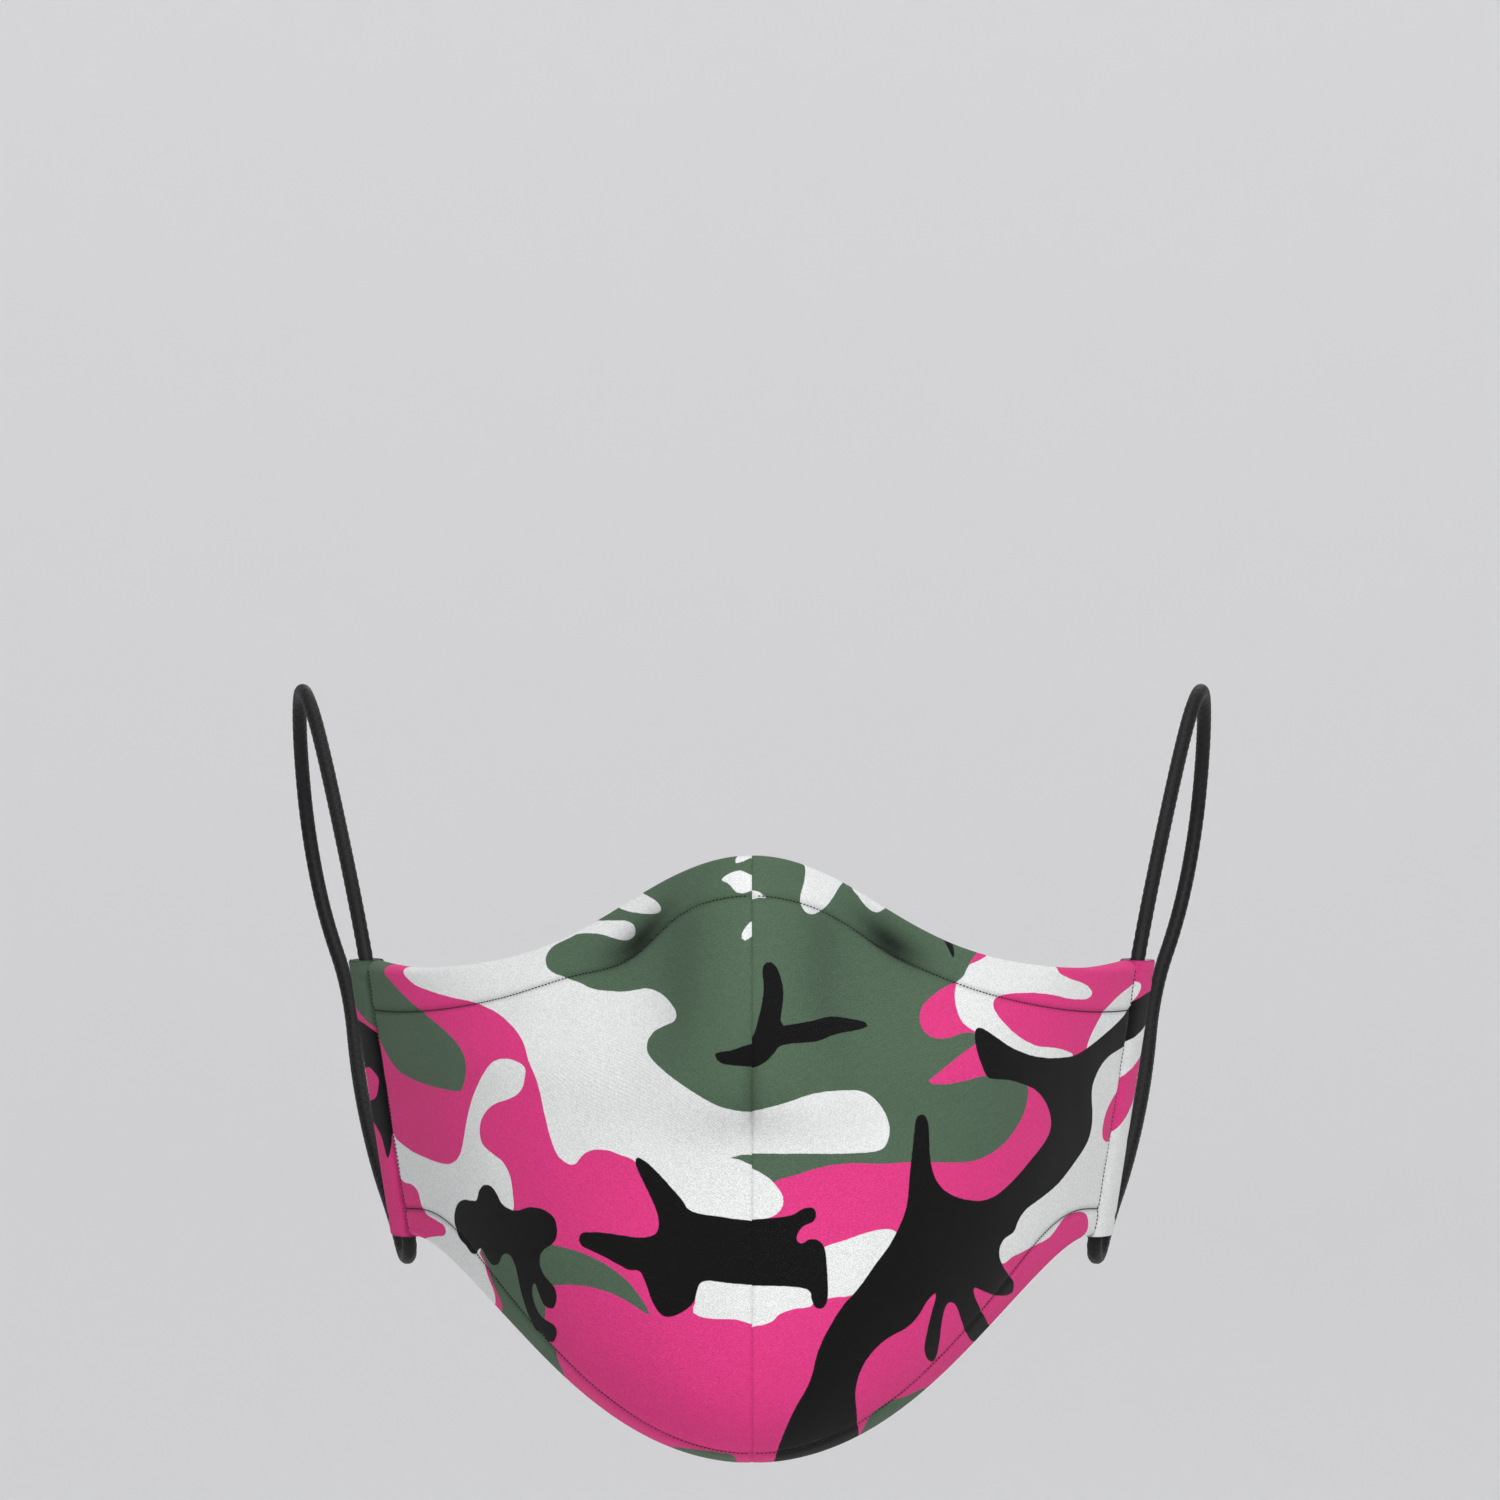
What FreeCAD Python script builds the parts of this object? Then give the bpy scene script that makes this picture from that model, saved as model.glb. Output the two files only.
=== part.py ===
"""A fitted cloth face mask in its worn shape: two printed outer panels sewn down the middle, a two-piece
lining with a filter pocket between, a nose wire, folded side casings, and elastic ear loops that swing.

Frame, in millimetres: +Z up, -Y out of the front of the mask, +X to the wearer's left.
The origin is where the inside of the top edge rests on the bridge of the nose.

Every sheet of cloth is a strip of one curved form, the face side of the mask. A point of the form has
s, 0 at the centre seam and 1 at the side casing, and t, 0 at the top edge and 1 at the chin edge.
A layer lies between two heights over the form. The right half is the left half mirrored in X.
"""

import FreeCAD, Part
import math
import os
from bisect import bisect_left

Vector = FreeCAD.Vector

# Overall shape of the form
HALF_WIDTH = 58.9        # centre seam to side casing, along X, at the top corner
CENTRE_HEIGHT = 90.0     # top edge to chin edge down the centre seam
NOSE_REACH = 17.6        # tip of the nose in front of the bridge
SIDE_DEPTH = 53.9        # side casing behind the bridge, at the top corner
TOP_DROP = 16.3          # top corner below the bridge
SIDE_HEIGHT = 43.6       # top corner to bottom corner
SIDE_LEAN_IN = 7.2       # bottom corner nearer the middle than the top corner
SIDE_LEAN_FORWARD = 10.0 # bottom corner in front of the top corner
SIDE_FLARE_DEG = 20.0    # casing turned outwards from the fore-and-aft direction

# The centre seam as (forward / NOSE_REACH, down / CENTRE_HEIGHT)
SEAM = [(0.0, 0.0), (0.32, 0.10), (0.69, 0.215), (0.97, 0.315), (1.0, 0.39), (0.86, 0.465),
        (0.76, 0.565), (0.74, 0.68), (0.69, 0.79), (0.50, 0.895), (0.10, 0.975), (-0.42, 1.0)]
# The ridge of the nose, lips and chin over the cheeks: (t, height, half width)
RIDGE = [(0.0, 10.0, 12.0), (0.2, 12.0, 13.5), (0.34, 12.0, 16.0), (0.46, 6.5, 18.0),
         (0.62, 3.0, 20.0), (0.82, 3.0, 20.0), (1.0, 2.0, 20.0)]
CHEEK_FRONT = 0.60       # how far the front of a level section runs straight across, as a share of its width
CHEEK_SIDE = 0.52        # how far its side runs straight back, as a share of its depth
TOP_BELL = 0.415         # half width of the rise over the nose, as a share of the section
TOP_DIP = 0.12           # sag of the top edge under the eyes, as a share of TOP_DROP
CHIN_ROUND = 0.72        # roundness of the chin edge, as a share of the section
CHIN_LIFT = 0.13         # rise of the chin edge under the jaw, as a share of the height there

# Cloth and what lies between, from the face outwards
LAYER_GAP = 0.10         # air between sheets that can slide on each other
FILTER_GAP = 0.05        # air between two filter layers
SEAM_GAP = 0.10          # between the two halves at the centre seam
LINING_THICK = 0.50
FILTER_LAYERS = [("filter_face_nonwoven", 0.25), ("filter_inner_meltblown", 0.15), ("filter_carbon_cloth", 0.30),
                 ("filter_outer_meltblown", 0.15), ("filter_front_nonwoven", 0.25)]
TAPE_THICK = 0.40        # tape over the raw centre seam
OUTER_THICK = 0.55
WIRE_THICK = 0.70
WIRE_COVER_THICK = 0.35
LABEL_THICK = 0.20
STITCH_HEIGHT = 0.25     # a row of stitching, as one flat thread
STITCH_WIDTH = 0.50
STITCH_LIFT = 0.03       # thread to cloth

POCKET_BOTTOM = LINING_THICK + LAYER_GAP
POCKET_TOP = POCKET_BOTTOM + sum(thick + FILTER_GAP for _, thick in FILTER_LAYERS) - FILTER_GAP
TAPE_BOTTOM = POCKET_TOP + LAYER_GAP
OUTER_BOTTOM = TAPE_BOTTOM + TAPE_THICK + LAYER_GAP
OUTER_TOP = OUTER_BOTTOM + OUTER_THICK

# Where the pieces lie on the form, along the cloth
HEM_WIDTH = 8.0          # top and chin edges to their rows of stitching
CASING_ROW = 1.0         # side casing to its row of stitching, on the panel
LINING_SETBACK = 12.0    # side casing to the open edge of the lining, where the filter goes in
POCKET_HEM = 4.0         # open edge of the lining to its row of stitching
FILTER_HALF_LENGTH = 56.0
FILTER_SETBACK = 12.0    # top and chin edges to the filter
WIRE_HALF_LENGTH = 43.0
WIRE_WIDTH = 4.0
WIRE_SETBACK = 3.0       # top edge to the wire
WIRE_COVER_MARGIN = 1.6  # how far the cover reaches past the wire all round
TAPE_HALF_WIDTH = 6.0
TAPE_SETBACK = 1.5       # top and chin edges to the ends of the tape
LABEL_WIDTH = 14.0
LABEL_HEIGHT = 9.0
LABEL_FROM_SEAM = 30.0
LABEL_FROM_CHIN = 11.0

# Ear loop: a soft round elastic
CORD_D = 2.4
MOUTH_INSET = 3.0        # mouths of the casing to where the free stretch of the loop starts
JOIN_LENGTH = 9.0        # bound overlap that makes the elastic a ring
JOIN_WALL = 0.25
JOIN_CLEARANCE = 0.02

# Side casing: a flattened tube of cloth round the ear loop
CASING_WIDTH = 10.0
CASING_WALL = 0.5
CASING_GAP = 0.08        # panel edge to casing
CASING_PROUD = 0.3       # how far its face stands out from the panel's face
CHANNEL_CLEARANCE = 0.23 # binding of the loop's join to the flat sides of the channel
CASING_CHANNEL = CORD_D + 2 * (JOIN_CLEARANCE + JOIN_WALL + CHANNEL_CLEARANCE)
CASING_THICK = CASING_CHANNEL + 2 * CASING_WALL

# The free stretch of the ear loop, from the top mouth over and behind the ear, each point from that mouth
OVER_EAR = [(8.8, 30.5, 36.5), (11.8, 39.5, 44.0), (13.0, 48.5, 42.0), (13.0, 54.5, 32.5),
            (11.8, 56.0, 19.5), (9.0, 53.0, 6.0), (4.5, 46.5, -6.0)]
# and then under the ear to the bottom mouth, each point from that mouth
UNDER_EAR = [(9.8, 42.0, 23.4), (6.3, 27.3, 10.5), (2.4, 13.2, 1.4), (0.7, 6.2, -4.5)]
STUB_TOP = 6.0           # straight out of the top mouth
STUB_BOTTOM = 2.4        # straight out of the bottom mouth


def smooth_curve(points, params):
    """A smooth curve through the points at those params, as a function of the param."""
    curve = Part.BSplineCurve()
    curve.interpolate(Points=[Vector(*p) for p in points], Parameters=params)
    return curve.value


def chord_params(points):
    """Params from 0 to 1 in step with the distance along the points."""
    along = [0.0]
    for a, b in zip(points, points[1:]):
        along.append(along[-1] + math.dist(a, b))
    return [x / along[-1] for x in along]


SEAM_POINTS = [(0.0, -f * NOSE_REACH, -d * CENTRE_HEIGHT) for f, d in SEAM]
seam_at = smooth_curve(SEAM_POINTS, chord_params(SEAM_POINTS))
ridge_at = smooth_curve([(height, width, t) for t, height, width in RIDGE], [t for t, _, _ in RIDGE])

FLARE = math.radians(SIDE_FLARE_DEG)
SIDE_WAY = Vector(math.sin(FLARE), math.cos(FLARE), 0)
SIDE_TOP = Vector(HALF_WIDTH, SIDE_DEPTH, -TOP_DROP)
SIDE_BOTTOM = SIDE_TOP - Vector(SIDE_LEAN_IN, SIDE_LEAN_FORWARD, SIDE_HEIGHT)
SIDE_DOWN = (SIDE_BOTTOM - SIDE_TOP).normalize()
SIDE_OUT = SIDE_DOWN.cross(SIDE_WAY).normalize()


def hump(share, power):
    """A rise from 0 to 1 and back to 0 over a share of 0 to 1, later for a higher power."""
    return share ** power * (1 - share) * (power + 1) ** (power + 1) / power ** power


def form(s, t):
    """The point of the form at s and t; a negative s is on the right half."""
    if s < 0:
        point = form(-s, t)
        return Vector(-point.x, point.y, point.z)
    seam = seam_at(t)
    ridge = ridge_at(t)
    side = SIDE_TOP + (SIDE_BOTTOM - SIDE_TOP) * t
    base_y = seam.y + ridge.x
    arm = SIDE_WAY * (CHEEK_SIDE * (side.y - base_y))
    weights = ((1 - s) ** 3, 3 * s * (1 - s) ** 2, 3 * s * s * (1 - s), s ** 3)
    corners = ((0, base_y), (CHEEK_FRONT * side.x, base_y), (side.x - arm.x, side.y - arm.y), (side.x, side.y))
    x = sum(w * c[0] for w, c in zip(weights, corners))
    y = sum(w * c[1] for w, c in zip(weights, corners)) - ridge.x * math.exp(-((x / ridge.y) ** 2))
    across = x / side.x
    bell = (1 - math.exp(-((across / TOP_BELL) ** 2))) / (1 - math.exp(-1 / TOP_BELL ** 2))
    bell += TOP_DIP * hump(across, 2)
    chin = (math.hypot(across, CHIN_ROUND) - CHIN_ROUND) / (math.hypot(1, CHIN_ROUND) - CHIN_ROUND)
    chin += CHIN_LIFT * hump(across, 4)
    fall = bell + (chin - bell) * t * t * (3 - 2 * t)
    return Vector(x, y, seam.z + (side.z - seam.z) * fall)


def over_form(s, t, height):
    """The point at that height over the form, out from the face."""
    step = 1e-4
    across = form(min(1.0, s + step), t) - form(max(-1.0, s - step), t)
    down = form(s, min(1.0, t + step)) - form(s, max(0.0, t - step))
    return form(s, t) + down.cross(across).normalize() * height


def length_table(point_of, steps=60):
    """(lengths, params) along a line of the form, from its start."""
    lengths, last = [0.0], point_of(0.0)
    for i in range(1, steps + 1):
        here = point_of(i / steps)
        lengths.append(lengths[-1] + (here - last).Length)
        last = here
    return lengths, [i / steps for i in range(steps + 1)]


def param_at(table, length):
    """The param at that length along a line."""
    lengths, params = table
    i = min(max(bisect_left(lengths, length), 1), len(lengths) - 1)
    share = (length - lengths[i - 1]) / (lengths[i] - lengths[i - 1])
    return params[i - 1] + (params[i] - params[i - 1]) * share


def s_from_seam(length, t=0.5):
    return param_at(length_table(lambda s: form(s, t)), length)


def s_from_side(length, t=0.5):
    return 1 - param_at(length_table(lambda s: form(1 - s, t)), length)


def from_top(first, last):
    """The t range of a strip along the top edge, between two distances from it."""
    def t_range(s):
        table = length_table(lambda t: form(s, t))
        return param_at(table, first), param_at(table, last)
    return t_range


def from_chin(first, last):
    """The t range of a strip along the chin edge, between two distances from it."""
    def t_range(s):
        table = length_table(lambda t: form(s, 1 - t))
        return 1 - param_at(table, last), 1 - param_at(table, first)
    return t_range


def between(from_top_edge, from_chin_edge):
    """The t range between a distance from the top edge and a distance from the chin edge."""
    return lambda s: (from_top(from_top_edge, from_top_edge)(s)[0], from_chin(from_chin_edge, from_chin_edge)(s)[0])


def top_to_chin(s):
    return 0.0, 1.0


def cloth(s_range, t_range, heights, columns=32, rows=26):
    """A sheet of cloth as a solid: t_range gives its low and high t at an s, heights its two sides."""
    skins = []
    for height in heights:
        grid = []
        for i in range(columns + 1):
            s = s_range[0] + (s_range[1] - s_range[0]) * i / columns
            low, high = t_range(s)
            grid.append([over_form(s, low + (high - low) * j / rows, height) for j in range(rows + 1)])
        skin = Part.BSplineSurface()
        skin.interpolate(grid)
        skins.append(skin)
    faces = [skin.toShape() for skin in skins]
    for edges in zip(*[borders(skin) for skin in skins]):
        faces.append(Part.makeRuledSurface(*edges))
    return closed(faces)


def borders(skin):
    """The four border edges of a surface."""
    u0, u1, v0, v1 = skin.bounds()
    return [curve.toShape() for curve in (skin.uIso(u0), skin.uIso(u1), skin.vIso(v0), skin.vIso(v1))]


def closed(faces):
    """One solid from faces that meet at their edges."""
    shell = Part.makeShell(faces)
    shell.sewShape()
    solid = Part.makeSolid(Part.Shell(shell.Faces))
    if solid.Volume < 0:
        solid.reverse()
    return solid


S_SEAM = s_from_seam(SEAM_GAP / 2)


def outer_panel():
    return cloth((S_SEAM, 1.0), top_to_chin, (OUTER_BOTTOM, OUTER_TOP))


def lining():
    return cloth((S_SEAM, s_from_side(LINING_SETBACK)), top_to_chin, (0.0, LINING_THICK))


def filter_layer(bottom, thick):
    half = s_from_seam(FILTER_HALF_LENGTH)
    return cloth((-half, half), between(FILTER_SETBACK, FILTER_SETBACK), (bottom, bottom + thick), 48, 22)


def filter_insert():
    """The layers of the filter by name, from the face outwards."""
    layers, bottom = {}, POCKET_BOTTOM
    for name, thick in FILTER_LAYERS:
        layers[name] = filter_layer(bottom, thick)
        bottom += thick + FILTER_GAP
    return layers


def centre_seam_tape():
    half = s_from_seam(TAPE_HALF_WIDTH)
    return cloth((-half, half), between(TAPE_SETBACK, TAPE_SETBACK), (TAPE_BOTTOM, TAPE_BOTTOM + TAPE_THICK), 8, 26)


def nose_wire():
    half = s_from_seam(WIRE_HALF_LENGTH, 0.0)
    strip = from_top(WIRE_SETBACK, WIRE_SETBACK + WIRE_WIDTH)
    return cloth((-half, half), strip, (POCKET_BOTTOM, POCKET_BOTTOM + WIRE_THICK), 48, 4)


def nose_wire_cover():
    half = s_from_seam(WIRE_HALF_LENGTH + WIRE_COVER_MARGIN, 0.0)
    strip = from_top(WIRE_SETBACK - WIRE_COVER_MARGIN, WIRE_SETBACK + WIRE_WIDTH + WIRE_COVER_MARGIN)
    bottom = POCKET_BOTTOM + WIRE_THICK + FILTER_GAP
    return cloth((-half, half), strip, (bottom, bottom + WIRE_COVER_THICK), 48, 6)


def care_label():
    across = (s_from_seam(LABEL_FROM_SEAM, 0.9), s_from_seam(LABEL_FROM_SEAM + LABEL_WIDTH, 0.9))
    up = from_chin(LABEL_FROM_CHIN, LABEL_FROM_CHIN + LABEL_HEIGHT)
    return cloth(across, up, (-STITCH_LIFT - LABEL_THICK, -STITCH_LIFT), 6, 6)


OUTSIDE = (OUTER_TOP + STITCH_LIFT, OUTER_TOP + STITCH_LIFT + STITCH_HEIGHT)
INSIDE = (-STITCH_LIFT - STITCH_HEIGHT, -STITCH_LIFT)


def row_along(edge, distance):
    """A row of stitching on the outer panel, along the top or chin edge."""
    strip = edge(distance - STITCH_WIDTH / 2, distance + STITCH_WIDTH / 2)
    return cloth((S_SEAM, s_from_side(CASING_ROW + STITCH_WIDTH)), strip, OUTSIDE, rows=3)


def row_down(from_side, t_range, heights):
    """A row of stitching down the side of the mask."""
    across = (s_from_side(from_side + STITCH_WIDTH / 2), s_from_side(from_side - STITCH_WIDTH / 2))
    return cloth(across, t_range, heights, columns=3)


def casing_middle(share):
    """The middle of the side casing's section, from its top mouth at share 0 to its bottom mouth at 1."""
    along = SIDE_TOP + (SIDE_BOTTOM - SIDE_TOP) * share
    return (along + SIDE_WAY * (CASING_GAP + CASING_WIDTH / 2)
            + SIDE_OUT * (OUTER_TOP + CASING_PROUD - CASING_THICK / 2))


def stadium(middle, width, height):
    """A face with straight long sides and round ends, square to the side's outward direction."""
    out = SIDE_OUT * (height / 2)
    end = SIDE_WAY * (width / 2 - height / 2)
    bulge = SIDE_WAY * (width / 2)
    corners = [middle + end + out, middle + end - out, middle - end - out, middle - end + out]
    edges = [Part.Arc(corners[0], middle + bulge, corners[1]).toShape(),
             Part.LineSegment(corners[1], corners[2]).toShape(),
             Part.Arc(corners[2], middle - bulge, corners[3]).toShape(),
             Part.LineSegment(corners[3], corners[0]).toShape()]
    return Part.Face(Part.Wire(edges))


def side_casing():
    down = SIDE_BOTTOM - SIDE_TOP
    skin = stadium(casing_middle(0), CASING_WIDTH, CASING_THICK).extrude(down)
    channel = stadium(casing_middle(0), CASING_WIDTH - 2 * CASING_WALL, CASING_CHANNEL).extrude(down)
    return skin.cut(channel)


LOOP_TOP = casing_middle(0) + SIDE_DOWN * MOUTH_INSET
LOOP_BOTTOM = casing_middle(1) - SIDE_DOWN * MOUTH_INSET


def ear_loop_core():
    """The straight stretch of the loop inside the casing."""
    return Part.makeCylinder(CORD_D / 2, (LOOP_BOTTOM - LOOP_TOP).Length, LOOP_TOP, SIDE_DOWN)


def ear_loop_join():
    base = (LOOP_TOP + LOOP_BOTTOM) * 0.5 - SIDE_DOWN * (JOIN_LENGTH / 2)
    bore = CORD_D / 2 + JOIN_CLEARANCE
    binding = Part.makeCylinder(bore + JOIN_WALL, JOIN_LENGTH, base, SIDE_DOWN)
    return binding.cut(Part.makeCylinder(bore, JOIN_LENGTH, base, SIDE_DOWN))


def ear_loop_route():
    """The corners of the free stretch's route, from the top mouth to the bottom mouth."""
    top, bottom = casing_middle(0), casing_middle(1)
    route = [LOOP_TOP, top - SIDE_DOWN * STUB_TOP]
    route += [top + Vector(*p) for p in OVER_EAR]
    route += [bottom + Vector(*p) for p in UNDER_EAR]
    return route + [bottom + SIDE_DOWN * STUB_BOTTOM, LOOP_BOTTOM]


def rounded(route):
    """A wire of straight runs joined by tangent arcs, each as large as its two runs allow."""
    edges, radii, start = [], [], route[0]
    for before, corner, after in zip(route, route[1:], route[2:]):
        back, ahead = before - corner, after - corner
        half_turn = (math.pi - back.getAngle(ahead)) / 2
        reach = 0.45 * min(back.Length, ahead.Length)
        radius = reach / math.tan(half_turn)
        back.normalize()
        ahead.normalize()
        first, last = corner + back * reach, corner + ahead * reach
        middle = corner + (back + ahead).normalize() * (radius / math.cos(half_turn) - radius)
        edges.append(Part.LineSegment(start, first).toShape())
        edges.append(Part.Arc(first, middle, last).toShape())
        radii.append(radius)
        start = last
    edges.append(Part.LineSegment(start, route[-1]).toShape())
    print("ear loop arc radii, mm:", [round(radius, 1) for radius in radii])
    return Part.Wire(edges)


def ear_loop():
    path = rounded(ear_loop_route())
    ring = Part.Wire(Part.makeCircle(CORD_D / 2, LOOP_TOP, SIDE_DOWN))
    tube = path.makePipeShell([ring], True, False)
    section = math.pi * (CORD_D / 2) ** 2
    print("ear loop length", round(path.Length, 1), "volume / (section x length)",
          round(tube.Volume / (section * path.Length), 4))
    return tube


def mirrored(shape):
    return shape.mirror(Vector(0, 0, 0), Vector(1, 0, 0))


def both_sides(shape):
    """The shape and its mirror image, as one node of separate solids."""
    return Part.Compound([shape, mirrored(shape)])


def nodes():
    """Every sub-part by name."""
    pairs = {"outer_panel": outer_panel(), "lining": lining(), "side_casing": side_casing(),
             "ear_loop": ear_loop(), "ear_loop_core": ear_loop_core(), "ear_loop_join": ear_loop_join(),
             "casing_stitching": row_down(CASING_ROW, top_to_chin, OUTSIDE),
             "pocket_stitching": row_down(LINING_SETBACK + POCKET_HEM, between(FILTER_SETBACK, FILTER_SETBACK),
                                          INSIDE)}
    shapes = {}
    for name, shape in pairs.items():
        shapes[name + "_left"] = shape
        shapes[name + "_right"] = mirrored(shape)
    shapes["top_hem_stitching"] = both_sides(row_along(from_top, HEM_WIDTH))
    shapes["chin_hem_stitching"] = both_sides(row_along(from_chin, HEM_WIDTH))
    shapes["centre_seam_tape"] = centre_seam_tape()
    shapes["nose_wire"] = nose_wire()
    shapes["nose_wire_cover"] = nose_wire_cover()
    shapes["care_label"] = care_label()
    shapes.update(filter_insert())
    return shapes


os.makedirs("parts", exist_ok=True)
for node, shape in nodes().items():
    print(node, shape.ShapeType, "valid", shape.isValid(), "volume", round(shape.Volume, 1))
    shape.exportStep("parts/" + node + ".step")
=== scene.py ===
"""A fitted camouflage face mask as it is worn: two printed halves sewn down the middle, turned hems, side
casings, a white lining with an open filter pocket, and braided elastic ear loops.

The cloth lies on the same curved form as the CAD model. Its sizes are in millimetres until a mesh is made.
The route of the loops, the floor, the lights and the camera are in metres.
"""
import math

import bpy
import numpy as np
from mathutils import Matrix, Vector


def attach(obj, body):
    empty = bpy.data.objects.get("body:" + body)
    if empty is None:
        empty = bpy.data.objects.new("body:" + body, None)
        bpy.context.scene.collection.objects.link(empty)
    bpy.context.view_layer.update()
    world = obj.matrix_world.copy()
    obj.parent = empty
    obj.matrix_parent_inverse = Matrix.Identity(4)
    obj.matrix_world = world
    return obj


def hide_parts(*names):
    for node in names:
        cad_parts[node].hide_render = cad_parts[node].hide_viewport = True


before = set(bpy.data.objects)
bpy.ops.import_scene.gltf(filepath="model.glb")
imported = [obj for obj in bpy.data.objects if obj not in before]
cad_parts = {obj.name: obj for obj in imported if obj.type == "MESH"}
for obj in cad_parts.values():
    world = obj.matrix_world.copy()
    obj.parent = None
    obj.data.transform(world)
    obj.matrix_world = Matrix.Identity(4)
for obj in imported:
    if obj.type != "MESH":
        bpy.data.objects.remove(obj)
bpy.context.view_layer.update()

MM = 0.001

# ---------------------------------------------------------------- the form of the cloth, as in the CAD model
HALF_WIDTH = 58.9
CENTRE_HEIGHT = 90.0
NOSE_REACH = 17.6
SIDE_DEPTH = 53.9
TOP_DROP = 16.3
SIDE_HEIGHT = 43.6
SIDE_LEAN_IN = 7.2
SIDE_LEAN_FORWARD = 10.0
SIDE_FLARE = math.radians(20.0)
SEAM = [(0.0, 0.0), (0.32, 0.10), (0.69, 0.215), (0.97, 0.315), (1.0, 0.39), (0.86, 0.465),
        (0.76, 0.565), (0.74, 0.68), (0.69, 0.79), (0.50, 0.895), (0.10, 0.975), (-0.42, 1.0)]
RIDGE = [(0.0, 10.0, 12.0), (0.2, 12.0, 13.5), (0.34, 12.0, 16.0), (0.46, 6.5, 18.0),
         (0.62, 3.0, 20.0), (0.82, 3.0, 20.0), (1.0, 2.0, 20.0)]
CHEEK_FRONT = 0.60
CHEEK_SIDE = 0.52
TOP_BELL = 0.415
TOP_DIP = 0.12
CHIN_ROUND = 0.72
CHIN_LIFT = 0.13

# The lining lies on the form, and the printed face at a height over it
OUTER_TOP = 3.05
OUTER_THICK = 0.55
LINING_THICK = 0.5
LINING_SETBACK = 12.0
HEM_WIDTH = 8.0

SIDE_WAY = np.array([math.sin(SIDE_FLARE), math.cos(SIDE_FLARE), 0.0])
SIDE_TOP = np.array([HALF_WIDTH, SIDE_DEPTH, -TOP_DROP])
SIDE_BOTTOM = SIDE_TOP - np.array([SIDE_LEAN_IN, SIDE_LEAN_FORWARD, SIDE_HEIGHT])
SIDE_DOWN = (SIDE_BOTTOM - SIDE_TOP) / np.linalg.norm(SIDE_BOTTOM - SIDE_TOP)
SIDE_OUT = np.cross(SIDE_DOWN, SIDE_WAY) / np.linalg.norm(np.cross(SIDE_DOWN, SIDE_WAY))


def fade(x, width):
    """1 where x is 0, fading to nothing on both sides of it."""
    return np.exp(-(x / width) ** 2)


def rounded(x, reach):
    """A quarter round: 0 where x is 0, level at 1 from the reach on."""
    return np.sqrt(1 - (1 - np.clip(x / reach, 0, 1)) ** 2)


def smoothstep(x, low, high):
    share = np.clip((x - low) / (high - low), 0, 1)
    return share * share * (3 - 2 * share)


def cubic_spline(xs, values):
    """A smooth function through the values at xs, with not-a-knot ends."""
    xs, values = np.array(xs, float), np.array(values, float)
    count, step = len(xs), np.diff(xs)
    system, right = np.zeros((count, count)), np.zeros(values.shape)
    system[0, :3] = step[1], -(step[0] + step[1]), step[0]
    system[-1, -3:] = step[-1], -(step[-2] + step[-1]), step[-2]
    for i in range(1, count - 1):
        system[i, i - 1:i + 2] = step[i - 1], 2 * (step[i - 1] + step[i]), step[i]
        right[i] = 6 * ((values[i + 1] - values[i]) / step[i] - (values[i] - values[i - 1]) / step[i - 1])
    bend = np.linalg.solve(system, right)

    def value_at(x):
        i = np.clip(np.searchsorted(xs, x) - 1, 0, count - 2)
        wide, before, after = step[i][..., None], (xs[i + 1] - x)[..., None], (x - xs[i])[..., None]
        cubic = (bend[i] * before ** 3 + bend[i + 1] * after ** 3) / (6 * wide)
        return (cubic + (values[i] / wide - bend[i] * wide / 6) * before
                + (values[i + 1] / wide - bend[i + 1] * wide / 6) * after)
    return value_at


SEAM_POINTS = np.array([(-forward * NOSE_REACH, -down * CENTRE_HEIGHT) for forward, down in SEAM])
SEAM_ALONG = np.concatenate([[0], np.cumsum(np.linalg.norm(np.diff(SEAM_POINTS, axis=0), axis=1))])
seam_at = cubic_spline(SEAM_ALONG / SEAM_ALONG[-1], SEAM_POINTS)
ridge_at = cubic_spline([t for t, _, _ in RIDGE], [(height, width) for _, height, width in RIDGE])


def hump(share, power):
    """A hump that is 0 at shares 0 and 1, and 1 at its peak, which lies further out for a higher power."""
    return share ** power * (1 - share) * (power + 1) ** (power + 1) / power ** power


def form(s, t):
    """Points of the form on the left half: s from the centre seam to the side, t from the top to the chin."""
    seam, ridge = seam_at(t), ridge_at(t)
    side = SIDE_TOP + (SIDE_BOTTOM - SIDE_TOP) * t[..., None]
    ridge_height, ridge_width = ridge[..., 0], ridge[..., 1]
    base_y = seam[..., 0] + ridge_height
    reach = CHEEK_SIDE * (side[..., 1] - base_y)
    first, second, third, last = (1 - s) ** 3, 3 * s * (1 - s) ** 2, 3 * s * s * (1 - s), s ** 3
    x = (second * CHEEK_FRONT * side[..., 0] + third * (side[..., 0] - SIDE_WAY[0] * reach)
         + last * side[..., 0])
    y = (first + second) * base_y + third * (side[..., 1] - SIDE_WAY[1] * reach) + last * side[..., 1]
    y = y - ridge_height * fade(x, ridge_width)
    across = x / side[..., 0]
    bell = (1 - fade(across, TOP_BELL)) / (1 - fade(1, TOP_BELL))
    bell = bell + TOP_DIP * hump(across, 2)
    chin = (np.hypot(across, CHIN_ROUND) - CHIN_ROUND) / (math.hypot(1, CHIN_ROUND) - CHIN_ROUND)
    chin = chin + CHIN_LIFT * hump(across, 4)
    fall = bell + (chin - bell) * t * t * (3 - 2 * t)
    z = seam[..., 1] + (side[..., 2] - seam[..., 1]) * fall
    return np.stack([x, y, z], axis=-1)


def unit(vectors):
    return vectors / np.linalg.norm(vectors, axis=-1)[..., None]


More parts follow.
